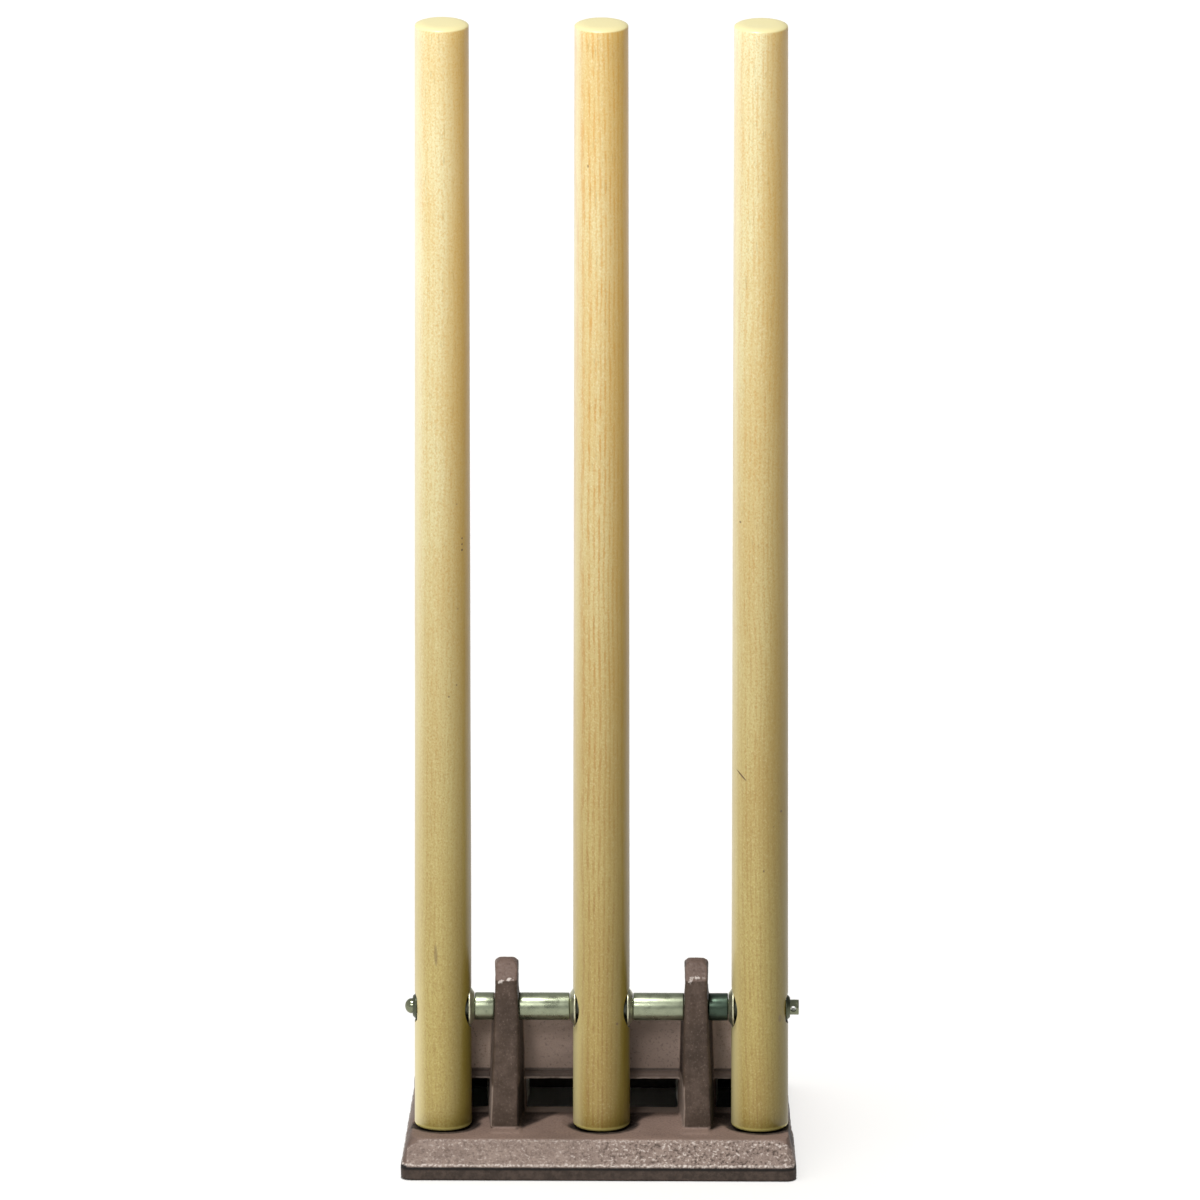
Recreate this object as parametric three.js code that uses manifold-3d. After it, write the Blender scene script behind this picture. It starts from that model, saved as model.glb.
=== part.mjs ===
// Spring-back cricket stumps: three wooden stumps turn on one steel axle, which two lugs of a
// cast iron base carry. A ball tips a stump back, its foot swings forward, and an extension
// spring under the deck pulls the foot back against the deck's nose.
// Millimetres. X runs along the axle to the right, Y runs back, Z runs up from the ground.
import * as THREE from "three";
import { mergeVertices } from "three/addons/utils/BufferGeometryUtils.js";
import Module from "manifold-3d";

const wasm = await Module();
wasm.setup();

// Fits and working values
const SEAT_GAP = 0.3;
const RUNNING_GAP = 0.2;
const OVERRUN = 2;
const ROUND_STEPS = 24;
const CORNER_STEPS = 4;

// Stumps
const STUMP_SPACING = 98.4;
const STUMP_LENGTH = 711;
const STUMP_STEPS = 48;
const STUMP_FOOT_RADIUS = 17.75;
const STUMP_TOP_RADIUS = 16.7;
const TIP_FLAT_RADIUS = 9.75;
const TIP_HEIGHT = 2.3;
const HEEL_FLAT_RADIUS = 8.5;
const HEEL_HEIGHT = 6;
const END_CURVE_STEPS = 4;
const FOOT_CLEARANCE = 20;

// Axle, and the pieces threaded on it
const AXLE_HEIGHT = 96.5;
const AXLE_RADIUS = 4.75;
const AXLE_LEFT_INSET = 0.7;
const AXLE_RIGHT_INSET = 0.1;
const AXLE_DOME_LENGTH = 4.2;
const AXLE_DOME_FLAT_RADIUS = 1.6;
const AXLE_CHAMFER = 0.6;
const PIN_HOLE_RADIUS = 1.85;
const PIN_HOLE_INSET = 3.4;
const BUSH_RADIUS = 7;
const TUBE_RADIUS = 8.6;
const TUBE_CHAMFER = 0.5;
const SHEET = 1.5;
const CUP_RIM_RADIUS = 12.2;
const CUP_SUNK = 1.6;
const CUP_DEPTH = 3.4;
const CUP_LIP = 0.9;
const COUNTERSINK_RADIUS = 14;
const COUNTERSINK_SEAT_RADIUS = 10.1;
const COUNTERSINK_DEPTH = 5;
const SPOT_FACE_RADIUS = 9;
const SPOT_FACE_DEPTH = 1.6;
const END_RIM_RADIUS = 8.1;
const END_CROWN_RADIUS = 6.2;
const END_WASHER_DEPTH = 2.5;
const END_WASHER_SHEET = 1.2;
const END_WASHER_LIP = 0.6;

// Base casting: toe plate with its sloped apron
const BASE_FRONT = -55;
const BASE_SIDE_FRONT = 24.4;
const BASE_SIDE_REAR = 17.8;
const BASE_BEHIND_ROD = 20;
const BASE_CORNER = 6;
const TOE_HEIGHT = 9.6;
const TOE_EDGE = 0.8;
const FLOOR_HEIGHT = 22;
const APRON_DEPTH = 17;
const SIDE_BEVEL = 5;
const REAR_BEVEL = 4;
const FLOOR_CORNER = 9;
const FLOOR_EDGE = 0.7;
const DISH_RADIUS = 25;
const DISH_DEPTH = 6;
const DISH_STEPS = 4;
const DISH_SIDES = 32;
const FLOOR_REAR = 30;
const POCKET_HEIGHT = 8;
const SKIRT = 8;

// Base casting: deck over the springs, and the stop wall that stands on it
const DECK_HEIGHT = 48;
const DECK_THICKNESS = 4.5;
const DECK_EDGE = 1.6;
const DECK_SIDE_INSET = 1;
const DECK_DRAFT = 1.4;
const REAR_WALL = 7;
const SPRING_ROOM = 1;
const RIB = 7;
const WALL_SETBACK = 3.2;
const WALL_THICKNESS = 7.5;
const WALL_TOP = 86;
const WALL_END_INSET = 2.5;
const WALL_DRAFT = 0.6;
const WALL_EDGE = 1.8;
const WALL_CORNER = 3;

// Base casting: the two lugs
const LUG_OFFSET = 58.9;
const LUG_HALF_FOOT = 9;
const LUG_HALF_TOP = 6.7;
const LUG_FRONT_FOOT = -19;
const LUG_FRONT_TOP = -15;
const LUG_CREASE_HEIGHT = 117.5;
const LUG_TOP = 128.3;
const LUG_SHOULDER_BACK = 15;
const LUG_SHOULDER_REACH = 8;
const LUG_SHOULDER_HEIGHT = 112;
const LUG_TAIL = 62;
const LUG_CORNER = 2.6;
const LUG_PLAN_DRAFT = 4.5;
const LUG_CROWN = 4;
const LUG_CROWN_STEPS = 4;
const LUG_CROWN_HALF = 2.9;
const LUG_NOSE_FRONT = -3.5;
const LUG_NOSE_DROP = 1.8;
const LUG_APEX_FRONT = 1;
const PAD_HALF = 9.9;
const PAD_FRONT = -28;
const PAD_HEIGHT = 0.9;
const PAD_EDGE = 0.9;

// Springs, their eyes in the stumps and their anchor rod
const WIRE_RADIUS = 0.75;
const SPRING_RADIUS = 5.25;
const SPRING_CURLS = 18;
const STEPS_PER_CURL = 8;
const WIRE_SIDES = 5;
const EYE_WIRE_RADIUS = 1.4;
const EYE_RADIUS = 3.6;
const EYE_STANDOFF = 1.75;
const EYE_SHANK = 13;
const EYE_STEPS = 16;
const EYE_SIDES = 8;
const EYE_HOOK_RADIUS = 4.5;
const HOOK_STEPS = 9;
const HOOK_TURN = THREE.MathUtils.degToRad(220);
const EYE_HOOK_START = THREE.MathUtils.degToRad(-130);
const HOOK_RUN = 5.5;
const ROD_RADIUS = 3;
const ROD_BACK = 130;
const ROD_END_INSET = 1;

// Places that follow from the sizes above
const BASE_HALF_FRONT = STUMP_SPACING + BASE_SIDE_FRONT;
const BASE_HALF_REAR = STUMP_SPACING + BASE_SIDE_REAR;
const BASE_REAR = ROD_BACK + BASE_BEHIND_ROD;
const AXLE_Y = -(BASE_FRONT + BASE_REAR) / 2;
const STUMP_TOP = FOOT_CLEARANCE + STUMP_LENGTH;
const AXLE_SHARE = (AXLE_HEIGHT - FOOT_CLEARANCE) / STUMP_LENGTH;
const STUMP_AXLE_RADIUS = THREE.MathUtils.lerp(STUMP_FOOT_RADIUS, STUMP_TOP_RADIUS, AXLE_SHARE);
const BORE_RADIUS = AXLE_RADIUS + SEAT_GAP;
const CUP_RIM_PLACE = STUMP_AXLE_RADIUS - CUP_SUNK;
const CUP_WEB_PLACE = CUP_RIM_PLACE + CUP_DEPTH - SHEET;
const CUP_OUTER_PLACE = CUP_RIM_PLACE + CUP_DEPTH;
const SPOT_FACE_PLACE = STUMP_AXLE_RADIUS - SPOT_FACE_DEPTH;
const END_RIM_PLACE = SPOT_FACE_PLACE + SEAT_GAP;
const DECK_NOSE = STUMP_FOOT_RADIUS + SEAT_GAP;
const DECK_UNDERSIDE = DECK_HEIGHT - DECK_THICKNESS;
const SPRING_HEIGHT = (FLOOR_HEIGHT + DECK_UNDERSIDE) / 2;
const CAVITY_REAR = BASE_REAR - REAR_BEVEL - REAR_WALL;
const EYE_BACK = STUMP_FOOT_RADIUS + EYE_STANDOFF + EYE_RADIUS + EYE_WIRE_RADIUS;
const SIDES = [["left", -1], ["right", 1]];
const STUMPS = [["left", -STUMP_SPACING], ["middle", 0], ["right", STUMP_SPACING]];

const part = new THREE.Group();
const axleFrame = new THREE.Group();
axleFrame.position.set(0, AXLE_Y, AXLE_HEIGHT);
const groundFrame = new THREE.Group();
groundFrame.position.set(0, AXLE_Y, 0);
part.add(axleFrame, groundFrame);

// Materials

function castIron() {
  return new THREE.MeshStandardMaterial({ color: 0x6b5850, roughness: 0.72, metalness: 0.25 });
}

function ashWood() {
  return new THREE.MeshStandardMaterial({ color: 0xd8c784, roughness: 0.45, metalness: 0 });
}

function zincSteel() {
  return new THREE.MeshStandardMaterial({ color: 0xb7bda4, roughness: 0.32, metalness: 0.9 });
}

function springSteel() {
  return new THREE.MeshStandardMaterial({ color: 0x8d8f8c, roughness: 0.35, metalness: 0.9 });
}

// Solids

function toSolid(geometry) {
  const bare = geometry.clone();
  bare.deleteAttribute("normal");
  bare.deleteAttribute("uv");
  const merged = mergeVertices(bare);
  return new wasm.Manifold(new wasm.Mesh({
    numProp: 3,
    vertProperties: Float32Array.from(merged.attributes.position.array),
    triVerts: Uint32Array.from(merged.index.array),
  }));
}

function toGeometry(solid) {
  const mesh = solid.getMesh();
  const geometry = new THREE.BufferGeometry();
  geometry.setAttribute("position", new THREE.BufferAttribute(mesh.vertProperties, 3));
  geometry.setIndex(new THREE.BufferAttribute(mesh.triVerts, 1));
  geometry.computeVertexNormals();
  return geometry;
}

function named(name, geometry, material, frame) {
  const mesh = new THREE.Mesh(geometry, material);
  mesh.name = name;
  frame.add(mesh);
  return mesh;
}

// A body turned round X, from outline points [radius, place along X]
function turnedAlongX(outline, steps) {
  const points = outline.map(([radius, place]) => new THREE.Vector2(radius, place));
  return new THREE.LatheGeometry(points, steps).rotateZ(-Math.PI / 2);
}

// A body turned round Z, from outline points [radius, height]
function turnedAlongZ(outline, steps) {
  const points = outline.map(([radius, height]) => new THREE.Vector2(radius, height));
  return new THREE.LatheGeometry(points, steps).rotateX(Math.PI / 2);
}

function rodAlongX(radius, from, to) {
  return turnedAlongX([[0, from], [radius, from], [radius, to], [0, to]], ROUND_STEPS);
}

function block(x, y, z) {
  const box = new THREE.BoxGeometry(x[1] - x[0], y[1] - y[0], z[1] - z[0]);
  return box.translate((x[0] + x[1]) / 2, (y[0] + y[1]) / 2, (z[0] + z[1]) / 2);
}

// One level of a drafted casting: a four-sided outline with round corners at one height
function level({ halfFront, halfRear = halfFront, front, rear, corner, height }) {
  const corners = [
    [halfRear - corner, rear - corner],
    [corner - halfRear, rear - corner],
    [corner - halfFront, front + corner],
    [halfFront - corner, front + corner],
  ];
  return corners.flatMap(([x, y], quarter) => Array.from({ length: CORNER_STEPS + 1 }, (_, step) => {
    const angle = (quarter + step / CORNER_STEPS) * Math.PI / 2;
    return [x + corner * Math.cos(angle), y + corner * Math.sin(angle), height];
  }));
}

// A closed skin over levels that all have the same number of points, lowest first
function loft(levels) {
  const count = levels[0].length;
  const faces = [];
  for (let step = 1; step < count - 1; step += 1) {
    const top = (levels.length - 1) * count;
    faces.push(0, step + 1, step, top, top + step, top + step + 1);
  }
  for (let ring = 0; ring < levels.length - 1; ring += 1) {
    for (let step = 0; step < count; step += 1) {
      const low = ring * count + step;
      const next = ring * count + (step + 1) % count;
      faces.push(low, next, next + count, low, next + count, low + count);
    }
  }
  const geometry = new THREE.BufferGeometry();
  geometry.setAttribute("position", new THREE.Float32BufferAttribute(levels.flat(2), 3));
  geometry.setIndex(faces);
  return geometry;
}

// A round tube swept along a path of points, closed at both ends
function sweptTube(path, radius, sides) {
  const positions = [];
  const faces = [];
  const tangent = new THREE.Vector3();
  const across = new THREE.Vector3(0, 0, 1);
  path.forEach((point, index) => {
    const before = path[Math.max(index - 1, 0)];
    const after = path[Math.min(index + 1, path.length - 1)];
    tangent.subVectors(after, before).normalize();
    across.addScaledVector(tangent, -across.dot(tangent)).normalize();
    const up = new THREE.Vector3().crossVectors(tangent, across);
    for (let side = 0; side < sides; side += 1) {
      const angle = side / sides * Math.PI * 2;
      const spoke = point.clone().addScaledVector(across, radius * Math.cos(angle));
      spoke.addScaledVector(up, radius * Math.sin(angle));
      positions.push(spoke.x, spoke.y, spoke.z);
    }
  });
  const last = (path.length - 1) * sides;
  for (let side = 1; side < sides - 1; side += 1) {
    faces.push(0, side + 1, side, last, last + side, last + side + 1);
  }
  for (let ring = 0; ring < last; ring += sides) {
    for (let side = 0; side < sides; side += 1) {
      const low = ring + side;
      const next = ring + (side + 1) % sides;
      faces.push(low, next, next + sides, low, next + sides, low + sides);
    }
  }
  const geometry = new THREE.BufferGeometry();
  geometry.setAttribute("position", new THREE.Float32BufferAttribute(positions, 3));
  geometry.setIndex(faces);
  return geometry;
}

// Base casting, in a frame whose Y is zero at the axle

function toePlate() {
  const foot = {
    halfFront: BASE_HALF_FRONT,
    halfRear: BASE_HALF_REAR,
    front: BASE_FRONT,
    rear: BASE_REAR,
    corner: BASE_CORNER,
  };
  const grown = (inset, rise) => level({
    halfFront: foot.halfFront - SIDE_BEVEL - inset,
    halfRear: foot.halfRear - SIDE_BEVEL - inset,
    front: foot.front + APRON_DEPTH + inset,
    rear: foot.rear - REAR_BEVEL - inset,
    corner: FLOOR_CORNER - inset,
    height: rise,
  });
  const edge = TOE_EDGE;
  const rounded = {
    halfFront: foot.halfFront - edge,
    halfRear: foot.halfRear - edge,
    front: foot.front + edge,
    rear: foot.rear - edge,
    corner: foot.corner,
  };
  return loft([
    level({ ...rounded, height: 0 }),
    level({ ...foot, height: edge }),
    level({ ...foot, height: TOE_HEIGHT - edge }),
    level({ ...rounded, height: TOE_HEIGHT }),
    grown(0, FLOOR_HEIGHT - FLOOR_EDGE),
    grown(FLOOR_EDGE, FLOOR_HEIGHT),
  ]);
}

function deckBlock() {
  const outline = (inset, height) => level({
    halfFront: BASE_HALF_FRONT - SIDE_BEVEL - DECK_SIDE_INSET - inset,
    halfRear: BASE_HALF_REAR - SIDE_BEVEL - DECK_SIDE_INSET - inset,
    front: DECK_NOSE + Math.max(inset - DECK_DRAFT, 0),
    rear: BASE_REAR - REAR_BEVEL - inset,
    corner: BASE_CORNER,
    height,
  });
  return loft([
    outline(0, TOE_HEIGHT),
    outline(DECK_DRAFT, DECK_HEIGHT - DECK_EDGE),
    outline(DECK_DRAFT + DECK_EDGE, DECK_HEIGHT),
  ]);
}

function stopWall() {
  const front = DECK_NOSE + WALL_SETBACK;
  const half = BASE_HALF_FRONT - SIDE_BEVEL - DECK_SIDE_INSET - WALL_END_INSET;
  const outline = (inset, height) => level({
    halfFront: half - inset,
    front: front + inset,
    rear: front + WALL_THICKNESS - inset,
    corner: WALL_CORNER - inset,
    height,
  });
  return loft([
    outline(0, DECK_HEIGHT - DECK_EDGE),
    outline(WALL_DRAFT, WALL_TOP - WALL_EDGE),
    outline(WALL_EDGE, WALL_TOP),
  ]);
}

function lug() {
  const side = new THREE.Shape();
  side.moveTo(LUG_FRONT_FOOT, FLOOR_HEIGHT - TOE_EDGE);
  side.lineTo(LUG_TAIL, FLOOR_HEIGHT - TOE_EDGE);
  side.lineTo(LUG_TAIL, DECK_HEIGHT);
  side.lineTo(LUG_SHOULDER_BACK, LUG_SHOULDER_HEIGHT);
  side.quadraticCurveTo(LUG_SHOULDER_BACK - LUG_SHOULDER_REACH, LUG_TOP, LUG_APEX_FRONT, LUG_TOP);
  side.quadraticCurveTo(LUG_NOSE_FRONT, LUG_TOP, LUG_NOSE_FRONT - LUG_CORNER, LUG_TOP - LUG_NOSE_DROP);
  side.lineTo(LUG_FRONT_TOP, LUG_CREASE_HEIGHT);
  const length = (LUG_HALF_FOOT + LUG_PLAN_DRAFT) * 2;
  const plate = new THREE.ExtrudeGeometry(side, { depth: length, bevelEnabled: false, curveSegments: 4 });
  const axes = [[0, 1, 0], [0, 0, 1], [1, 0, 0]].map((axis) => new THREE.Vector3(...axis));
  plate.applyMatrix4(new THREE.Matrix4().makeBasis(...axes)).translate(-length / 2, 0, 0);
  const crownStart = LUG_TOP - LUG_CROWN;
  const taper = (height, half) => level({
    halfFront: half,
    halfRear: half + LUG_PLAN_DRAFT,
    front: THREE.MathUtils.mapLinear(
      height, FLOOR_HEIGHT, LUG_CREASE_HEIGHT, LUG_FRONT_FOOT, LUG_FRONT_TOP),
    rear: LUG_TAIL + OVERRUN,
    corner: LUG_CORNER,
    height,
  });
  const crown = Array.from({ length: LUG_CROWN_STEPS }, (_, step) => {
    const angle = (step + 1) / LUG_CROWN_STEPS * Math.PI / 2;
    const half = LUG_CROWN_HALF + (LUG_HALF_TOP - LUG_CROWN_HALF) * Math.cos(angle);
    return taper(crownStart + LUG_CROWN * Math.sin(angle), half);
  });
  const drafted = loft([
    taper(FLOOR_HEIGHT - OVERRUN, LUG_HALF_FOOT),
    taper(crownStart, LUG_HALF_TOP),
    ...crown,
  ]);
  return toSolid(plate).intersect(toSolid(drafted));
}

function lugPad() {
  const outline = (inset, height) => level({
    halfFront: PAD_HALF - inset,
    front: PAD_FRONT + inset,
    rear: 0,
    corner: LUG_CORNER,
    height,
  });
  return loft([outline(0, FLOOR_HEIGHT - TOE_EDGE), outline(PAD_EDGE, FLOOR_HEIGHT + PAD_HEIGHT)]);
}

// The shallow round hollow under a foot is a slice of a ball
function dish() {
  const ball = (DISH_RADIUS ** 2 + DISH_DEPTH ** 2) / (2 * DISH_DEPTH);
  const reach = Math.asin(DISH_RADIUS / ball);
  const centre = FLOOR_HEIGHT - DISH_DEPTH + ball;
  const outline = Array.from({ length: DISH_STEPS + 1 }, (_, step) => {
    const angle = reach * step / DISH_STEPS;
    return [ball * Math.sin(angle), centre - ball * Math.cos(angle)];
  });
  outline.push([DISH_RADIUS, FLOOR_HEIGHT + OVERRUN], [0, FLOOR_HEIGHT + OVERRUN]);
  return turnedAlongZ(outline, DISH_SIDES);
}

// Hollows under the casting, one set for each bay between the ribs and side walls
function bays() {
  const outerHalf = STUMP_SPACING + SPRING_RADIUS + WIRE_RADIUS + SPRING_ROOM;
  const inner = LUG_OFFSET - RIB / 2;
  const outer = LUG_OFFSET + RIB / 2;
  const spans = [[-outerHalf, -outer], [-inner, inner], [outer, outerHalf]];
  return spans.flatMap((span) => [
    block(span, [FLOOR_REAR, CAVITY_REAR], [-OVERRUN, DECK_UNDERSIDE]),
    block(span, [DECK_NOSE - OVERRUN, FLOOR_REAR + OVERRUN], [FLOOR_HEIGHT, DECK_UNDERSIDE]),
    block(span, [BASE_FRONT + SKIRT, FLOOR_REAR - SKIRT], [-OVERRUN, POCKET_HEIGHT]),
  ]);
}

function baseCasting() {
  let casting = toSolid(toePlate()).add(toSolid(deckBlock())).add(toSolid(stopWall()));
  for (const bay of bays()) {
    casting = casting.subtract(toSolid(bay));
  }
  for (const [, place] of STUMPS) {
    casting = casting.subtract(toSolid(dish().translate(place, 0, 0)));
  }
  for (const [, side] of SIDES) {
    casting = casting.add(lug().translate([side * LUG_OFFSET, 0, 0]));
    casting = casting.add(toSolid(lugPad().translate(side * LUG_OFFSET, 0, 0)));
  }
  const span = BASE_HALF_FRONT + OVERRUN;
  const axleHole = rodAlongX(BORE_RADIUS, -span, span).translate(0, 0, AXLE_HEIGHT);
  const rodHole = rodAlongX(ROD_RADIUS + SEAT_GAP, -span, span).translate(0, ROD_BACK, SPRING_HEIGHT);
  return casting.subtract(toSolid(axleHole)).subtract(toSolid(rodHole));
}

named("base_casting", toGeometry(baseCasting()), castIron(), groundFrame);

// Stumps, with their bushes and screw eyes

function stumpOutline() {
  const quarter = Array.from({ length: END_CURVE_STEPS + 1 }, (_, step) => (
    step / END_CURVE_STEPS * Math.PI / 2));
  const heel = quarter.map((angle) => [
    HEEL_FLAT_RADIUS + (STUMP_FOOT_RADIUS - HEEL_FLAT_RADIUS) * Math.sin(angle),
    FOOT_CLEARANCE + HEEL_HEIGHT * (1 - Math.cos(angle)),
  ]);
  const tip = quarter.map((angle) => [
    TIP_FLAT_RADIUS + (STUMP_TOP_RADIUS - TIP_FLAT_RADIUS) * Math.cos(angle),
    STUMP_TOP - TIP_HEIGHT * (1 - Math.sin(angle)),
  ]);
  return [[0, FOOT_CLEARANCE], ...heel, ...tip, [0, STUMP_TOP]];
}

// The cut that takes a cup washer in the side of a stump, wider at the stump's face
function countersink() {
  const slope = (COUNTERSINK_RADIUS - COUNTERSINK_SEAT_RADIUS) / COUNTERSINK_DEPTH;
  const seat = STUMP_AXLE_RADIUS - COUNTERSINK_DEPTH;
  return turnedAlongX([
    [0, seat],
    [COUNTERSINK_SEAT_RADIUS, seat],
    [COUNTERSINK_RADIUS + OVERRUN * slope, STUMP_AXLE_RADIUS + OVERRUN],
    [0, STUMP_AXLE_RADIUS + OVERRUN],
  ], ROUND_STEPS);
}

function spotFace() {
  return rodAlongX(SPOT_FACE_RADIUS, SPOT_FACE_PLACE, STUMP_AXLE_RADIUS + OVERRUN);
}

function sideCut(place, side) {
  const outward = place * side > 0;
  const cut = outward ? spotFace() : countersink();
  return cut.rotateZ(side > 0 ? 0 : Math.PI).translate(0, 0, AXLE_HEIGHT);
}

function shankHole() {
  const radius = EYE_WIRE_RADIUS + SEAT_GAP;
  const deep = STUMP_FOOT_RADIUS - EYE_SHANK - SEAT_GAP;
  const hole = rodAlongX(radius, deep, STUMP_FOOT_RADIUS + OVERRUN).rotateZ(Math.PI / 2);
  return hole.translate(0, 0, SPRING_HEIGHT);
}

function stump(place) {
  const reach = STUMP_FOOT_RADIUS + OVERRUN;
  const bore = rodAlongX(BUSH_RADIUS + SEAT_GAP, -reach, reach).translate(0, 0, AXLE_HEIGHT);
  let body = toSolid(turnedAlongZ(stumpOutline(), STUMP_STEPS)).subtract(toSolid(bore));
  for (const [, side] of SIDES) {
    body = body.subtract(toSolid(sideCut(place, side)));
  }
  return body.subtract(toSolid(shankHole()));
}

// A bush stands proud of a countersink's seat up to the cup washer, and flush with a spot face
function bush(place) {
  const [left, right] = SIDES.map(([, side]) => (
    place * side > 0 ? SPOT_FACE_PLACE : CUP_WEB_PLACE - SEAT_GAP));
  const hole = AXLE_RADIUS + RUNNING_GAP;
  return turnedAlongX([
    [hole, -left], [BUSH_RADIUS, -left], [BUSH_RADIUS, right], [hole, right], [hole, -left],
  ], ROUND_STEPS);
}

function screwEye() {
  const ring = new THREE.TorusGeometry(EYE_RADIUS, EYE_WIRE_RADIUS, EYE_SIDES, EYE_STEPS);
  ring.rotateY(Math.PI / 2).translate(0, EYE_BACK, 0);
  const inner = STUMP_FOOT_RADIUS - EYE_SHANK;
  const outer = EYE_BACK - EYE_RADIUS;
  const shank = turnedAlongX([
    [0, inner],
    [EYE_WIRE_RADIUS / 2, inner],
    [EYE_WIRE_RADIUS, inner + EYE_WIRE_RADIUS],
    [EYE_WIRE_RADIUS, outer],
    [0, outer],
  ], ROUND_STEPS / 2).rotateZ(Math.PI / 2);
  return toSolid(ring).add(toSolid(shank));
}

for (const [label, place] of STUMPS) {
  named(`stump_${label}`, toGeometry(stump(place)), ashWood(), groundFrame).position.x = place;
  named(`pivot_bush_${label}`, bush(place), zincSteel(), axleFrame).position.x = place;
  const eye = named(`screw_eye_${label}`, toGeometry(screwEye()), zincSteel(), groundFrame);
  eye.position.set(place, 0, SPRING_HEIGHT);
}

// Axle, spacer tubes and washers

function axle() {
  const left = AXLE_LEFT_INSET - BASE_HALF_FRONT;
  const right = BASE_HALF_FRONT - AXLE_RIGHT_INSET;
  const dome = Array.from({ length: END_CURVE_STEPS + 1 }, (_, step) => {
    const angle = step / END_CURVE_STEPS * Math.PI / 2;
    return [
      AXLE_DOME_FLAT_RADIUS + (AXLE_RADIUS - AXLE_DOME_FLAT_RADIUS) * Math.sin(angle),
      left + AXLE_DOME_LENGTH * (1 - Math.cos(angle)),
    ];
  });
  const rod = turnedAlongX([
    [0, left],
    ...dome,
    [AXLE_RADIUS, right - AXLE_CHAMFER],
    [AXLE_RADIUS - AXLE_CHAMFER, right],
    [0, right],
  ], ROUND_STEPS);
  const reach = AXLE_RADIUS + OVERRUN;
  const pinHole = rodAlongX(PIN_HOLE_RADIUS, -reach, reach).rotateZ(Math.PI / 2);
  return toSolid(rod).subtract(toSolid(pinHole.translate(right - PIN_HOLE_INSET, 0, 0)));
}

function spacerTube(from, to) {
  return turnedAlongX([
    [BORE_RADIUS, from],
    [TUBE_RADIUS - TUBE_CHAMFER, from],
    [TUBE_RADIUS, from + TUBE_CHAMFER],
    [TUBE_RADIUS, to - TUBE_CHAMFER],
    [TUBE_RADIUS - TUBE_CHAMFER, to],
    [BORE_RADIUS, to],
    [BORE_RADIUS, from],
  ], ROUND_STEPS);
}

// A washer pressed from sheet, its rim at zero and its flat web further along X
function dishedWasher({ hole, crown, rim, lip, depth, sheet }) {
  return turnedAlongX([
    [hole, depth - sheet],
    [crown - sheet / 2, depth - sheet],
    [rim - sheet / 2, 0],
    [rim, 0],
    [rim, lip],
    [crown, depth],
    [hole, depth],
    [hole, depth - sheet],
  ], ROUND_STEPS);
}

function cupWasher() {
  return dishedWasher({
    hole: BORE_RADIUS,
    crown: TUBE_RADIUS,
    rim: CUP_RIM_RADIUS,
    lip: CUP_LIP,
    depth: CUP_DEPTH,
    sheet: SHEET,
  });
}

function endWasher() {
  return dishedWasher({
    hole: BORE_RADIUS,
    crown: END_CROWN_RADIUS,
    rim: END_RIM_RADIUS,
    lip: END_WASHER_LIP,
    depth: END_WASHER_DEPTH,
    sheet: END_WASHER_SHEET,
  });
}

// Half a lug's thickness at a height and a place along Y, with its draft both ways
function lugHalfAt(height, back) {
  const upright = THREE.MathUtils.mapLinear(
    height, FLOOR_HEIGHT - OVERRUN, LUG_TOP - LUG_CROWN, LUG_HALF_FOOT, LUG_HALF_TOP);
  const rear = LUG_TAIL + OVERRUN - LUG_CORNER;
  return upright + THREE.MathUtils.mapLinear(
    back, LUG_FRONT_FOOT + LUG_CORNER, rear, 0, LUG_PLAN_DRAFT);
}

named("axle_rod", toGeometry(axle()), zincSteel(), axleFrame);
for (const [label, side] of SIDES) {
  const lugHalf = lugHalfAt(AXLE_HEIGHT - TUBE_RADIUS, TUBE_RADIUS) + SEAT_GAP;
  const turn = side > 0 ? 0 : Math.PI;
  const inner = spacerTube(CUP_OUTER_PLACE + SEAT_GAP, LUG_OFFSET - lugHalf);
  const outer = spacerTube(LUG_OFFSET + lugHalf, STUMP_SPACING - CUP_OUTER_PLACE - SEAT_GAP);
  const pieces = [
    [`spacer_tube_inner_${label}`, inner, 0, turn],
    [`spacer_tube_outer_${label}`, outer, 0, turn],
    [`cup_washer_inner_${label}`, cupWasher(), side * CUP_RIM_PLACE, turn],
    [`cup_washer_outer_${label}`, cupWasher(), side * (STUMP_SPACING - CUP_RIM_PLACE), turn + Math.PI],
    [`end_washer_${label}`, endWasher(), side * (STUMP_SPACING + END_RIM_PLACE), turn],
  ];
  for (const [name, geometry, place, angle] of pieces) {
    const mesh = named(name, geometry, zincSteel(), axleFrame);
    mesh.position.x = place;
    mesh.rotation.z = angle;
  }
}

// Springs and their anchor rod

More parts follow.
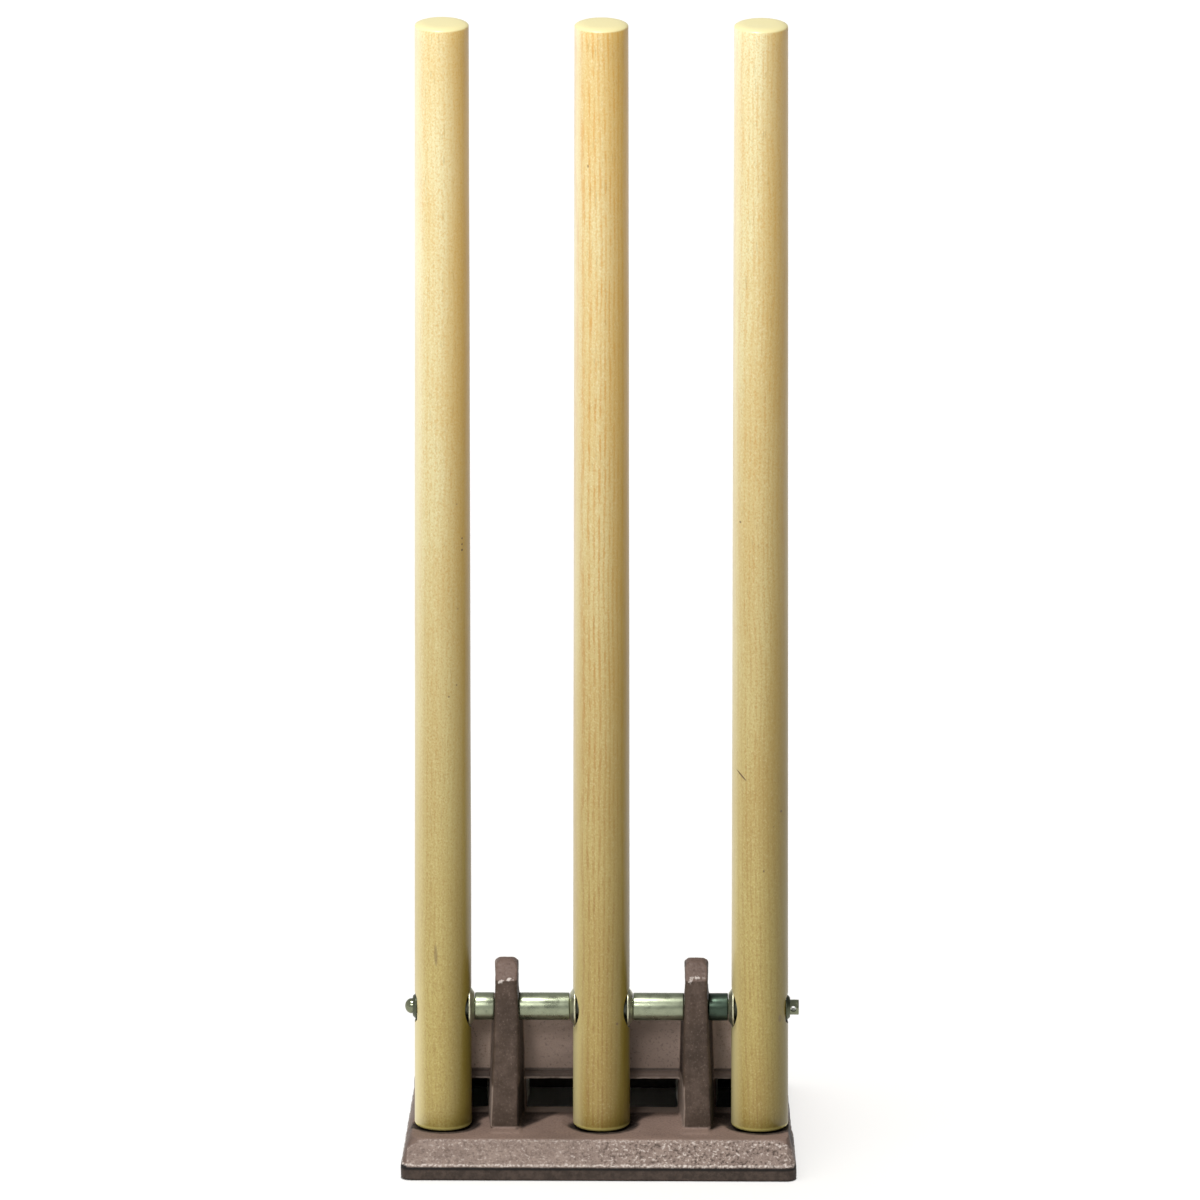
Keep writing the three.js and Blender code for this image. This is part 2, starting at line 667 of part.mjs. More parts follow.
// The wire's middle line: a hook lying flat in the eye, the curls, and an upright hook on the rod
function springPath() {
  const eyeHookCentre = EYE_BACK + EYE_RADIUS - EYE_WIRE_RADIUS - WIRE_RADIUS - SEAT_GAP + EYE_HOOK_RADIUS;
  const rodHookRadius = ROD_RADIUS + SEAT_GAP + WIRE_RADIUS;
  const coilStart = eyeHookCentre + HOOK_RUN;
  const coilEnd = ROD_BACK - HOOK_RUN;
  const path = [];
  const add = (x, y, z) => path.push(new THREE.Vector3(x, y, z));
  const tail = 2 * WIRE_RADIUS;
  add(
    EYE_HOOK_RADIUS * Math.sin(EYE_HOOK_START) - tail * Math.cos(EYE_HOOK_START),
    eyeHookCentre - EYE_HOOK_RADIUS * Math.cos(EYE_HOOK_START) - tail * Math.sin(EYE_HOOK_START),
    0,
  );
  for (let step = 0; step <= HOOK_STEPS; step += 1) {
    const angle = EYE_HOOK_START + HOOK_TURN * step / HOOK_STEPS;
    add(EYE_HOOK_RADIUS * Math.sin(angle), eyeHookCentre - EYE_HOOK_RADIUS * Math.cos(angle), 0);
  }
  const curlSteps = SPRING_CURLS * STEPS_PER_CURL + STEPS_PER_CURL / 4;
  for (let step = 1; step < curlSteps; step += 1) {
    const angle = step / STEPS_PER_CURL * Math.PI * 2;
    const along = THREE.MathUtils.lerp(coilStart, coilEnd, step / curlSteps);
    add(SPRING_RADIUS * Math.cos(angle), along, SPRING_RADIUS * Math.sin(angle));
  }
  for (let step = 0; step <= HOOK_STEPS; step += 1) {
    const angle = Math.PI / 2 - HOOK_TURN * step / HOOK_STEPS;
    add(0, ROD_BACK + rodHookRadius * Math.cos(angle), rodHookRadius * Math.sin(angle));
  }
  const end = path[path.length - 1];
  const run = end.clone().sub(path[path.length - 2]).setLength(tail);
  path.push(end.clone().add(run));
  return path;
}

// Least clear distance between two stretches of the wire that aren't neighbours
function selfGap(path) {
  const apart = STEPS_PER_CURL / 2;
  let least = Infinity;
  const finer = path.flatMap((point, index) => (
    index === 0 ? [point] : [point.clone().lerp(path[index - 1], 0.5), point]));
  for (let first = 0; first < finer.length; first += 1) {
    for (let second = first + 2 * apart; second < finer.length; second += 1) {
      least = Math.min(least, finer[first].distanceTo(finer[second]));
    }
  }
  return least - 2 * WIRE_RADIUS;
}

const wirePath = springPath();
console.log(`least gap of a spring to itself: ${selfGap(wirePath).toFixed(2)} mm`);
for (const [label, place] of STUMPS) {
  const coil = sweptTube(wirePath, WIRE_RADIUS, WIRE_SIDES);
  named(`return_spring_${label}`, coil, springSteel(), groundFrame).position.set(place, 0, SPRING_HEIGHT);
}

function anchorRod() {
  const reach = BASE_HALF_REAR - SIDE_BEVEL - DECK_SIDE_INSET - DECK_DRAFT - ROD_END_INSET;
  return rodAlongX(ROD_RADIUS, -reach, reach);
}

const rod = named("spring_anchor_rod", anchorRod(), zincSteel(), groundFrame);
rod.position.set(0, ROD_BACK, SPRING_HEIGHT);

export default part;
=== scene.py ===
# Spring-back cricket stumps: three ash stumps on one zinc-plated axle, carried by a painted
# sand-cast iron base. Metres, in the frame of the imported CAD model.
import math

import bmesh
import bpy
import numpy as np
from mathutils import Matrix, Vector, noise


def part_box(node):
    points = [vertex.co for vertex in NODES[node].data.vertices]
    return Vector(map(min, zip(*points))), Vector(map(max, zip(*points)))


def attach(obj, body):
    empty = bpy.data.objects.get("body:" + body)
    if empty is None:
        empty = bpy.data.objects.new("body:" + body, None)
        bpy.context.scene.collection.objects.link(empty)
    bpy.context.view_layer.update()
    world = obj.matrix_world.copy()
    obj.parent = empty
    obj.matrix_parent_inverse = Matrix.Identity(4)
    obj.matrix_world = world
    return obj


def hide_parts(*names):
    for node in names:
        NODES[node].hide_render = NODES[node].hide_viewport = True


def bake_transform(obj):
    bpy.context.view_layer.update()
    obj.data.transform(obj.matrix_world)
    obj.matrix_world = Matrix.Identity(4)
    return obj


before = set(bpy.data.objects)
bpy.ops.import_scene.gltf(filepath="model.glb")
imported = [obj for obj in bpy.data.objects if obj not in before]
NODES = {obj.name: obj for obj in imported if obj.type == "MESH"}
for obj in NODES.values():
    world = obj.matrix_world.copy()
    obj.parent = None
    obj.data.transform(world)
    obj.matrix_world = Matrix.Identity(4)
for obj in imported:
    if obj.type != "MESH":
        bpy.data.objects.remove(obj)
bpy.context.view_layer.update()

MM = 0.001
STUMPS = ("left", "middle", "right")


def middle_x(node):
    """A CAD node's place across the part."""
    low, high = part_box(node)
    return (low.x + high.x) / 2


def half_width(node, low, high):
    """Half the width of a CAD node's points between two heights."""
    across = [v.co.x for v in NODES[node].data.vertices if low <= v.co.z <= high]
    return (max(across) - min(across)) / 2


# Places read from the frame
AXLE_LOW, AXLE_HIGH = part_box("axle_rod")
AXLE_CENTRE = (AXLE_LOW + AXLE_HIGH) / 2
AXLE_Y, AXLE_Z = AXLE_CENTRE.y, AXLE_CENTRE.z
AXLE_RADIUS = (AXLE_HIGH.z - AXLE_LOW.z) / 2
STUMP_X = {label: middle_x(f"stump_{label}") for label in STUMPS}
STUMP_FOOT, STUMP_TOP = (corner.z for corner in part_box("stump_middle"))
BASE_LOW, BASE_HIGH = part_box("base_casting")

# Places on the casting, inside its box
TOE_HEIGHT = 9.6 * MM
FLOOR_HEIGHT = 22 * MM
DECK_UNDERSIDE = 43.5 * MM
DECK_HEIGHT = 48 * MM
WALL_TOP = 86 * MM
CREASE_HEIGHT = 117.5 * MM
APRON_TOP_Y = BASE_LOW.y + 17 * MM
APRON_HALF = BASE_HIGH.x - 2 * MM
NOSE_Y = AXLE_Y + 18 * MM
WALL_FRONT_Y = AXLE_Y + 21.25 * MM
LUG_OFFSET = 58.9 * MM


# Mesh tools

CORNER_STEPS = 4
POLE = 1e-7
WIRE_END_RINGS = (0.35, 0.8)


def mesh_from(name, points, faces):
    mesh = bpy.data.meshes.new(name)
    mesh.from_pydata([tuple(p) for p in points], [], faces)
    mesh.validate()
    return mesh


def placed(name, mesh):
    piece = bpy.data.objects.new(name, mesh)
    bpy.context.scene.collection.objects.link(piece)
    return piece


def softened(points, radii, closed=True):
    """The outline with its corners rounded, by one radius for each point."""
    result = []
    count = len(points)
    for i, (point, radius) in enumerate(zip(points, radii)):
        if radius <= 0 or (not closed and i in (0, count - 1)):
            result.append(tuple(point))
            continue
        corner = Vector(point)
        before = Vector(points[i - 1]) - corner
        after = Vector(points[(i + 1) % count]) - corner
        half = before.angle(after) / 2
        back = min(radius / math.tan(half), 0.45 * before.length, 0.45 * after.length)
        start = corner + before.normalized() * back
        end = corner + after.normalized() * back
        for step in range(CORNER_STEPS + 1):
            t = step / CORNER_STEPS
            bent = start * (1 - t) ** 2 + corner * 2 * t * (1 - t) + end * t**2
            result.append(tuple(bent))
    return result


def lathe(outline, sides, axis):
    """Points and faces of an outline of [radius, along] turned round x or z; radius 0 is a pole."""
    points, rows = [], []
    for radius, along in outline:
        if radius < POLE:
            rows.append([len(points)] * sides)
            points.append((along, 0, 0))
            continue
        rows.append(list(range(len(points), len(points) + sides)))
        for side in range(sides):
            angle = 2 * math.pi * side / sides
            points.append((along, radius * math.cos(angle), radius * math.sin(angle)))
    solid = len(set(rows[0])) == 1
    faces = []
    for low, high in list(zip(rows, rows[1:])) + ([] if solid else [(rows[-1], rows[0])]):
        for side in range(sides):
            after = (side + 1) % sides
            face = list(dict.fromkeys([low[side], low[after], high[after], high[side]]))
            if len(face) > 2:
                faces.append(face)
    if axis == "z":
        points = [(y, z, x) for x, y, z in points]
    return points, faces


def plug(radius, start, end, sides, end_radius=None):
    """A cylinder along x, or a cone where its end has a radius of its own."""
    return lathe([(0, start), (radius, start), (end_radius or radius, end), (0, end)], sides, "x")


def swept(path, radius, sides):
    """Points and faces of a round wire along a path, with rounded ends."""
    line = [Vector(p) for p in path]
    before, after = line[:1] + line[:-1], line[1:] + line[-1:]
    tangents = [(high - low).normalized() for low, high in zip(before, after)]
    across = tangents[0].orthogonal().normalized()
    points, rings = [], []

    def ring(centre, tangent, size):
        up = tangent.cross(across)
        rings.append(list(range(len(points), len(points) + sides)))
        for side in range(sides):
            angle = 2 * math.pi * side / sides
            spoke = across * math.cos(angle) + up * math.sin(angle)
            points.append(centre + spoke * size)

    for i, (centre, tangent) in enumerate(zip(line, tangents)):
        across = (across - tangent * across.dot(tangent)).normalized()
        if i == 0:
            for share in WIRE_END_RINGS:
                ring(centre - tangent * radius * math.sqrt(1 - share**2), tangent, radius * share)
        ring(centre, tangent, radius)
        if i == len(line) - 1:
            for share in WIRE_END_RINGS[::-1]:
                ring(centre + tangent * radius * math.sqrt(1 - share**2), tangent, radius * share)
    faces = [rings[0][::-1], rings[-1]]
    for low, high in zip(rings, rings[1:]):
        for side in range(sides):
            after = (side + 1) % sides
            faces.append((low[side], low[after], high[after], high[side]))
    return points, faces


def moved(points, offset):
    return [tuple(Vector(p) + Vector(offset)) for p in points]


def turned_to_y(points):
    """Points laid out along x, turned a quarter round z."""
    return [(-y, x, z) for x, y, z in points]


def outward(mesh):
    shell = bmesh.new()
    shell.from_mesh(mesh)
    bmesh.ops.recalc_face_normals(shell, faces=shell.faces)
    shell.to_mesh(mesh)
    shell.free()
    return mesh


def baked(piece):
    """Applies the piece's modifiers."""
    graph = bpy.context.evaluated_depsgraph_get()
    mesh = bpy.data.meshes.new_from_object(piece.evaluated_get(graph))
    piece.modifiers.clear()
    piece.data = mesh


def smooth(piece, angle=None):
    for face in piece.data.polygons:
        face.use_smooth = True
    if angle is not None:
        piece.data.set_sharp_from_angle(angle=math.radians(angle))


def cut(piece, cutters):
    """Cuts each of the given (points, faces) out of the piece."""
    tools = []
    for i, (points, faces) in enumerate(cutters):
        tool = placed(f"cutter_{i}", outward(mesh_from(f"cutter_{i}", points, faces)))
        step = piece.modifiers.new(f"cut_{i}", "BOOLEAN")
        step.operation, step.solver, step.object = "DIFFERENCE", "EXACT", tool
        tools.append(tool)
    baked(piece)
    for tool in tools:
        bpy.data.objects.remove(tool)


def eased(piece, width, angle):
    """Breaks the piece's edges that are sharper than the angle."""
    edge = piece.modifiers.new("edge", "BEVEL")
    edge.width, edge.segments = width, 2
    edge.limit_method, edge.angle_limit = "ANGLE", math.radians(angle)
    edge.use_clamp_overlap = True
    baked(piece)


def finished(piece, material, body, nodes):
    """Dresses the piece and hands it to its body; a body of None leaves it unattached."""
    piece.data.materials.clear()
    piece.data.materials.append(material)
    if body:
        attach(piece, body)
    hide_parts(*nodes)
    return piece


# Material tools


def colour(code):
    """A hex colour as linear RGBA."""
    parts = [int(code[i : i + 2], 16) / 255 for i in (0, 2, 4)]
    return [c / 12.92 if c <= 0.04045 else ((c + 0.055) / 1.055) ** 2.4 for c in parts] + [1.0]


def brighter(code, share):
    """A hex colour, brighter or darker by a share."""
    return [min(1.0, c * share**2.2) for c in colour(code)[:3]] + [1.0]


class Shader:
    """A material's nodes, made by short calls that return sockets."""

    def __init__(self, name, origin=(0, 0, 0)):
        self.material = bpy.data.materials.new(name)
        self.material.use_nodes = True
        self.tree = self.material.node_tree
        self.tree.nodes.clear()
        output = self.tree.nodes.new("ShaderNodeOutputMaterial")
        self.surface = self.tree.nodes.new("ShaderNodeBsdfPrincipled")
        self.tree.links.new(self.surface.outputs["BSDF"], output.inputs["Surface"])
        self.here = self.place(origin)
        self.x, self.y, self.z = self.axes(self.here)

    def put(self, socket, value):
        if isinstance(value, bpy.types.NodeSocket):
            self.tree.links.new(value, socket)
        else:
            socket.default_value = value

    def node(self, kind, inputs, out=0, **settings):
        made = self.tree.nodes.new("ShaderNode" + kind)
        for key, value in settings.items():
            setattr(made, key, value)
        for key, value in inputs.items():
            self.put(made.inputs[key], value)
        return made.outputs[out]

    def set(self, **inputs):
        for key, value in inputs.items():
            self.put(self.surface.inputs[key.replace("_", " ")], value)

    def place(self, origin=(0, 0, 0), scale=(1, 1, 1)):
        """The point on the object from an origin, stretched."""
        here = self.node("TexCoord", {}, out="Object")
        away = self.node("VectorMath", {0: here, 1: origin}, operation="SUBTRACT")
        return self.node("VectorMath", {0: away, 1: scale}, operation="MULTIPLY")

    def axes(self, vector):
        made = self.tree.nodes.new("ShaderNodeSeparateXYZ")
        self.tree.links.new(vector, made.inputs[0])
        return made.outputs[0], made.outputs[1], made.outputs[2]

    def math(self, operation, a, b=0.0):
        return self.node("Math", {0: a, 1: b}, operation=operation)

    def times(self, first, *others):
        for other in others:
            first = self.math("MULTIPLY", first, other)
        return first

    def plus(self, a, b):
        return self.math("ADD", a, b)

    def minus(self, a, b):
        return self.math("SUBTRACT", a, b)

    def size(self, value):
        """The value without its sign."""
        return self.math("ABSOLUTE", value)

    def squares(self, a, b):
        """The sum of two squares."""
        return self.plus(self.math("POWER", a, 2.0), self.math("POWER", b, 2.0))

    def reach(self, a, b):
        """The distance that two sides of a right angle span."""
        return self.math("POWER", self.squares(a, b), 0.5)

    def oval(self, across, rise, half_width, half_height):
        """0 at an oval's centre and 1 on its edge, squared."""
        across = self.math("DIVIDE", across, half_width)
        return self.squares(across, self.math("DIVIDE", rise, half_height))

    def noise(self, vector, scale, detail=2.0, roughness=0.5, distortion=0.0):
        inputs = {"Vector": vector, "Scale": scale, "Detail": detail}
        inputs.update({"Roughness": roughness, "Distortion": distortion})
        return self.node("TexNoise", inputs)

    def span(self, value, low, high, to_low=0.0, to_high=1.0):
        """The value's way from low to high, eased, as to_low to to_high."""
        inputs = {"Value": value, "From Min": low, "From Max": high}
        inputs.update({"To Min": to_low, "To Max": to_high})
        return self.node("MapRange", inputs, interpolation_type="SMOOTHSTEP")

    def mix(self, factor, a, b):
        """From a to b, each a socket, a linear colour or a hex code."""
        a, b = (colour(value) if isinstance(value, str) else value for value in (a, b))
        return self.node("Mix", {0: factor, 6: a, 7: b}, out=2, data_type="RGBA")

    def bump(self, height, distance, strength, normal=None):
        inputs = {"Height": height, "Distance": distance, "Strength": strength}
        if normal is not None:
            inputs["Normal"] = normal
        return self.node("Bump", inputs)


# The casting's paint: each function gives coats of (mask, colour), laid one over the other

# Among the coats are painted shadows, painted shade and painted light, as each function says
# What keeps the light off the floor, for its painted shadows: place, half width, front
UPRIGHTS = [
    (STUMP_X["left"], 16.5 * MM, AXLE_Y - 8 * MM),
    (-LUG_OFFSET - 1 * MM, 9 * MM, AXLE_Y - 19 * MM),
    (STUMP_X["middle"], 16.5 * MM, AXLE_Y - 8 * MM),
    (LUG_OFFSET + 1 * MM, 9 * MM, AXLE_Y - 19 * MM),
]
SHADOW_SLOPE = 0.67
SHADOW_LENGTH = 36 * MM
FOOT_SHADOW_SHIFT = Vector((1.4, -6.0)) * MM
FOOT_SHADOW_RADIUS = 24 * MM
# Paint worn off the lugs' creases: place, rise, half width, half height, slant, strength
WORN_SPOTS = [
    (-LUG_OFFSET - 3.5 * MM, -0.6 * MM, 1.9 * MM, 1.1 * MM, 0.3, 0.75),
    (-LUG_OFFSET + 2.0 * MM, 0.8 * MM, 2.3 * MM, 1.0 * MM, 0.1, 0.7),
    (LUG_OFFSET - 3.5 * MM, 0.4 * MM, 1.6 * MM, 1.8 * MM, 0.7, 0.5),
    (LUG_OFFSET + 0.8 * MM, 1.6 * MM, 1.3 * MM, 1.3 * MM, 0.0, 0.6),
    (LUG_OFFSET + 5.0 * MM, 1.8 * MM, 1.2 * MM, 1.0 * MM, 0.0, 0.25),
]


def painted_floor_shadows(s):
    """Painted shadows: dark wedges beside the uprights and crescents round the feet, on the floor
    alone.
    """
    on_floor = s.times(
        s.span(s.z, FLOOR_HEIGHT + 2.2 * MM, FLOOR_HEIGHT + 1.0 * MM),
        s.span(s.y, APRON_TOP_Y + 1 * MM, APRON_TOP_Y + 3 * MM),
    )
    dark = 0.0
    for place, half, front_y in UPRIGHTS:
        right = place + half
        slope = s.times(s.minus(s.y, front_y), SHADOW_SLOPE)
        ahead = s.minus(s.minus(s.x, right), slope)
        wedge = s.times(
            s.span(ahead, 2.5 * MM, -2.5 * MM, 0, 0.85),
            s.span(s.x, right - 3 * MM, right - 1 * MM),
            s.span(s.x, right + SHADOW_LENGTH, right + SHADOW_LENGTH - 14 * MM),
        )
        dark = s.math("MAXIMUM", dark, wedge)
    for place in STUMP_X.values():
        aside = s.minus(s.x, place + FOOT_SHADOW_SHIFT.x)
        along = s.minus(s.y, AXLE_Y + FOOT_SHADOW_SHIFT.y)
        away = s.reach(aside, along)
        edge = s.span(away, FOOT_SHADOW_RADIUS, FOOT_SHADOW_RADIUS - 3.5 * MM, 0, 0.97)
        dark = s.math("MAXIMUM", dark, edge)
    return [(s.times(dark, on_floor), "17110e")]


def wall_painted_light(s, blotch):
    """Painted light: paler paint behind the axle, palest on the wall's face outside the lugs,
    against the shade there.
    """
    behind = s.span(s.y, AXLE_Y + 15 * MM, AXLE_Y + 20 * MM)
    outside = s.times(
        s.span(s.size(s.x), LUG_OFFSET + 3 * MM, LUG_OFFSET + 9 * MM),
        s.span(s.y, WALL_FRONT_Y + 4 * MM, WALL_FRONT_Y + 2 * MM),
        s.span(s.z, DECK_UNDERSIDE - 1 * MM, DECK_UNDERSIDE),
    )
    inner, outer = s.mix(blotch, "847267", "948176"), s.mix(blotch, "ab9687", "bba596")
    return [(behind, s.mix(outside, inner, outer))]


def flank_painted_light(s):
    """Painted light and shade: the lugs' flanks dark on the right and lit on the left, and the
    base's sides darkened.
    """
    turned_x, _, _ = s.axes(s.node("NewGeometry", {}, out="Normal"))
    turned = s.size(turned_x)
    above = s.times(
        s.span(turned, 0.75, 0.92),
        s.span(s.z, DECK_HEIGHT, DECK_HEIGHT + 3 * MM),
        s.span(s.y, AXLE_Y - 8 * MM, AXLE_Y - 2 * MM, 0, 0.65),
        s.span(s.y, WALL_FRONT_Y + 2 * MM, WALL_FRONT_Y),
    )
    lit = s.times(s.span(s.x, 0, -1 * MM), s.span(turned_x, -0.1, -0.6))
    below = s.times(
        s.span(s.z, DECK_HEIGHT + 3 * MM, DECK_HEIGHT),
        s.span(s.z, FLOOR_HEIGHT + 0.8 * MM, FLOOR_HEIGHT + 2.4 * MM),
        s.span(s.size(s.x), 80 * MM, 76 * MM),
        s.span(s.y, NOSE_Y, NOSE_Y - 2 * MM),
    )
    sides = s.times(s.span(s.size(s.x), 111 * MM, 116 * MM), s.span(turned, 0.25, 0.6, 0, 0.42))
    return [
        (above, s.mix(lit, "261e1a", "97857a")),
        (s.times(below, s.span(turned_x, 0.5, 0.8, 0, 0.8)), "1a1411"),
        (s.times(below, s.span(turned_x, -0.5, -0.8, 0, 0.7)), "9b8a7f"),
        (sides, "3b2f29"),
    ]


def deck_coats(s, blotch):
    """Painted shade in the crease at the wall's foot and on the deck's nose, a painted highlight on
    its lip, and the pale hollow.
    """
    # Painted shade in the crease at the wall's foot
    wall_foot = s.times(
        s.span(s.z, DECK_HEIGHT - 0.3 * MM, DECK_HEIGHT + 0.3 * MM),
        s.span(s.z, DECK_HEIGHT + 2.4 * MM, DECK_HEIGHT + 1.2 * MM),
        s.span(s.y, WALL_FRONT_Y - 1.6 * MM, WALL_FRONT_Y - 0.6 * MM),
        s.span(s.y, WALL_FRONT_Y + 2 * MM, WALL_FRONT_Y + 1 * MM),
        0.75,
    )
    # Painted shade on the deck's nose, darkest on the left
    nose = s.times(
        s.span(s.y, NOSE_Y - 2 * MM, NOSE_Y - 1 * MM),
        s.span(s.y, WALL_FRONT_Y + 0.5 * MM, WALL_FRONT_Y - 0.5 * MM),
        s.span(s.z, DECK_UNDERSIDE - 1 * MM, DECK_UNDERSIDE),
        s.span(s.z, DECK_HEIGHT + 1.0 * MM, DECK_HEIGHT + 0.2 * MM),
    )
    dim, bright = s.mix(blotch, "322823", "463a34"), s.mix(blotch, "5d4e46", "7a695f")
    # A painted highlight along the lip, broken by blotches
    lip = s.times(
        s.span(s.z, DECK_UNDERSIDE - 0.6 * MM, DECK_UNDERSIDE + 0.3 * MM),
        s.span(s.z, DECK_UNDERSIDE + 2.0 * MM, DECK_UNDERSIDE + 1.0 * MM),
        nose,
        s.span(blotch, 0.36, 0.56, 0.25, 0.9),
    )
    hollow = s.times(
        s.span(s.y, AXLE_Y + 34 * MM, AXLE_Y + 40 * MM),
        s.span(s.y, BASE_HIGH.y - 8 * MM, BASE_HIGH.y - 9.5 * MM),
        s.span(s.z, DECK_UNDERSIDE + 0.5 * MM, DECK_UNDERSIDE - 0.5 * MM),
        s.span(s.size(s.x), 108 * MM, 106 * MM),
    )
    return [
        (wall_foot, "2b231e"),
        (s.times(nose, 0.75), s.mix(s.span(s.x, -45 * MM, 40 * MM), dim, bright)),
        (lip, "ab9b90"),
        (hollow, "e2e0d6"),
    ]


def toe_painted_shade(s):
    """Painted shade on the toe plate's edge, darkest under its brim as a painted shadow."""
    edge = s.span(s.z, TOE_HEIGHT + 0.3 * MM, TOE_HEIGHT - 0.6 * MM)
    patchy = s.span(s.noise(s.here, 260, 3, 0.65), 0.35, 0.65)
    # A painted shadow under the brim
    brim = s.times(
        s.span(s.z, TOE_HEIGHT - 3.6 * MM, TOE_HEIGHT - 2.2 * MM, 0, 0.9),
        s.span(s.z, TOE_HEIGHT + 0.1 * MM, TOE_HEIGHT - 0.5 * MM),
    )
    return [(s.times(edge, 0.9), s.mix(patchy, "2a221c", "41362f")), (brim, "0b0807")]


def apron_coats(s, apron, broad, blotch, pits):
    """The apron, pitted more to the right, with painted highlights along its foot and its head."""
    bare = s.mix(s.span(blotch, 0.35, 0.65), "7d6c63", "8d7c72")
    to_right = s.plus(s.x, s.times(s.minus(broad, 0.5), 0.2))
    strong = s.span(to_right, -60 * MM, 70 * MM, 0.5, 1.0)
    coarse = s.plus(s.times(pits, 0.6), s.times(s.noise(s.here, 300, 2, 0.6), 0.4))
    # Dark pits and pale bumps: partly wear, partly painted shade and highlight
    worn = s.mix(s.times(s.span(coarse, 0.525, 0.6, 0, 0.95), strong), bare, "463a33")
    worn = s.mix(s.times(s.span(coarse, 0.46, 0.38, 0, 0.72), strong), worn, "d6cbc2")
    # Painted highlights along the apron's foot and head, broken by the pits
    foot_highlight = s.times(
        s.span(s.z, TOE_HEIGHT - 0.7 * MM, TOE_HEIGHT - 0.2 * MM),
        s.span(s.z, TOE_HEIGHT + 0.9 * MM, TOE_HEIGHT + 0.3 * MM),
    )
    head_highlight = s.times(
        s.span(s.y, APRON_TOP_Y - 1.8 * MM, APRON_TOP_Y - 0.9 * MM),
        s.span(s.y, APRON_TOP_Y + 0.6 * MM, APRON_TOP_Y - 0.2 * MM),
        s.span(s.z, FLOOR_HEIGHT - 2 * MM, FLOOR_HEIGHT - 1 * MM),
        s.span(s.z, FLOOR_HEIGHT + 1 * MM, FLOOR_HEIGHT + 0.4 * MM),
        0.45,
    )
    line = s.times(s.math("MAXIMUM", foot_highlight, head_highlight), s.span(pits, 0.36, 0.56, 0.9, 0.15))
    return [(s.times(apron, 0.9), worn), (line, "cfc4bb")]


def crease_coats(s, grain):
    """Ragged worn spots on the lugs' creases."""
    ragged = s.times(s.minus(grain, 0.5), 6.0)
    facing = s.span(s.y, AXLE_Y - 7 * MM, AXLE_Y - 9 * MM)
    coats = []
    for place, rise, wide, high, slant, strength in WORN_SPOTS:
        aside = s.minus(s.x, place)
        level = s.minus(s.minus(s.z, CREASE_HEIGHT + rise), s.times(aside, slant))
        worn = s.span(s.plus(s.oval(aside, level, wide, high), ragged), 1.3, -0.3, 0, strength)
        coats.append((s.times(worn, facing), "ddd3cb"))
    return coats


def edge_wear_and_corner_shade(s, blotch):
    """Worn edges, and painted shade in the corners."""
    pointed = s.node("NewGeometry", {}, out="Pointiness")
    edge = s.times(s.span(pointed, 0.53, 0.6), s.span(blotch, 0.3, 0.6, 0.2, 0.65))
    return [(edge, "a5948a"), (s.span(pointed, 0.475, 0.42, 0, 0.6), "2e2621")]


def cast_iron():
    """Brown paint over sand-cast iron: lumpy, pitted on the apron, worn pale on the edges, with
    painted light and shade in its coats.
    """
    s = Shader("painted_cast_iron")
    broad = s.noise(s.here, 22, 3, 0.55)
    blotch = s.noise(s.here, 110, 3, 0.6)
    grain = s.noise(s.here, 640, 3, 0.7)
    pits = s.noise(s.here, 620, 3, 0.62, 0.2)
    apron = s.times(
        s.span(s.y, APRON_TOP_Y - 0.2 * MM, APRON_TOP_Y - 1.4 * MM),
        s.span(s.z, TOE_HEIGHT - 1.6 * MM, TOE_HEIGHT - 0.3 * MM),
        s.span(s.size(s.x), APRON_HALF, APRON_HALF - 1 * MM),
    )
    cloudy = s.span(broad, 0.3, 0.7)
    above_crease = s.span(s.z, CREASE_HEIGHT - 0.6 * MM, CREASE_HEIGHT + 0.6 * MM)
    low_down = s.span(s.z, FLOOR_HEIGHT + 2.5 * MM, FLOOR_HEIGHT + 1.2 * MM)
    # The paler paint above the lugs' creases and on the floor is painted light on faces turned up
    coats = [
        (above_crease, s.mix(cloudy, "5c4b43", "6c5950")),
        (low_down, s.mix(cloudy, "6f5c52", "806b60")),
        *painted_floor_shadows(s),
        *wall_painted_light(s, blotch),
        (s.span(blotch, 0.35, 0.75, 0, 0.25), "7b685e"),
        (s.span(grain, 0.53, 0.72, 0, 0.45), "362b26"),
        (s.span(grain, 0.44, 0.3, 0, 0.4), "7b6a60"),
        *flank_painted_light(s),
        *deck_coats(s, blotch),
        *toe_painted_shade(s),
        *apron_coats(s, apron, broad, blotch, pits),
        *crease_coats(s, grain),
        *edge_wear_and_corner_shade(s, blotch),
    ]
    paint = s.mix(cloudy, "3a2e25", "483a30")
    for mask, coat in coats:
        paint = s.mix(mask, paint, coat)
    rough = s.span(grain, 0.3, 0.7, 0.5, 0.72)
    fine = s.bump(grain, 0.35 * MM, 0.5)
    deep = s.bump(pits, 0.8 * MM, s.plus(s.times(apron, 0.6), 0.2), fine)
    s.set(Base_Color=paint, Roughness=rough, Normal=deep, Specular_IOR_Level=0.25)
    return s.material


# Wood and metal

RING_WIDTH = 3.1 * MM
WANDER = 4.5 * MM
SEAT_HALF = 17 * MM


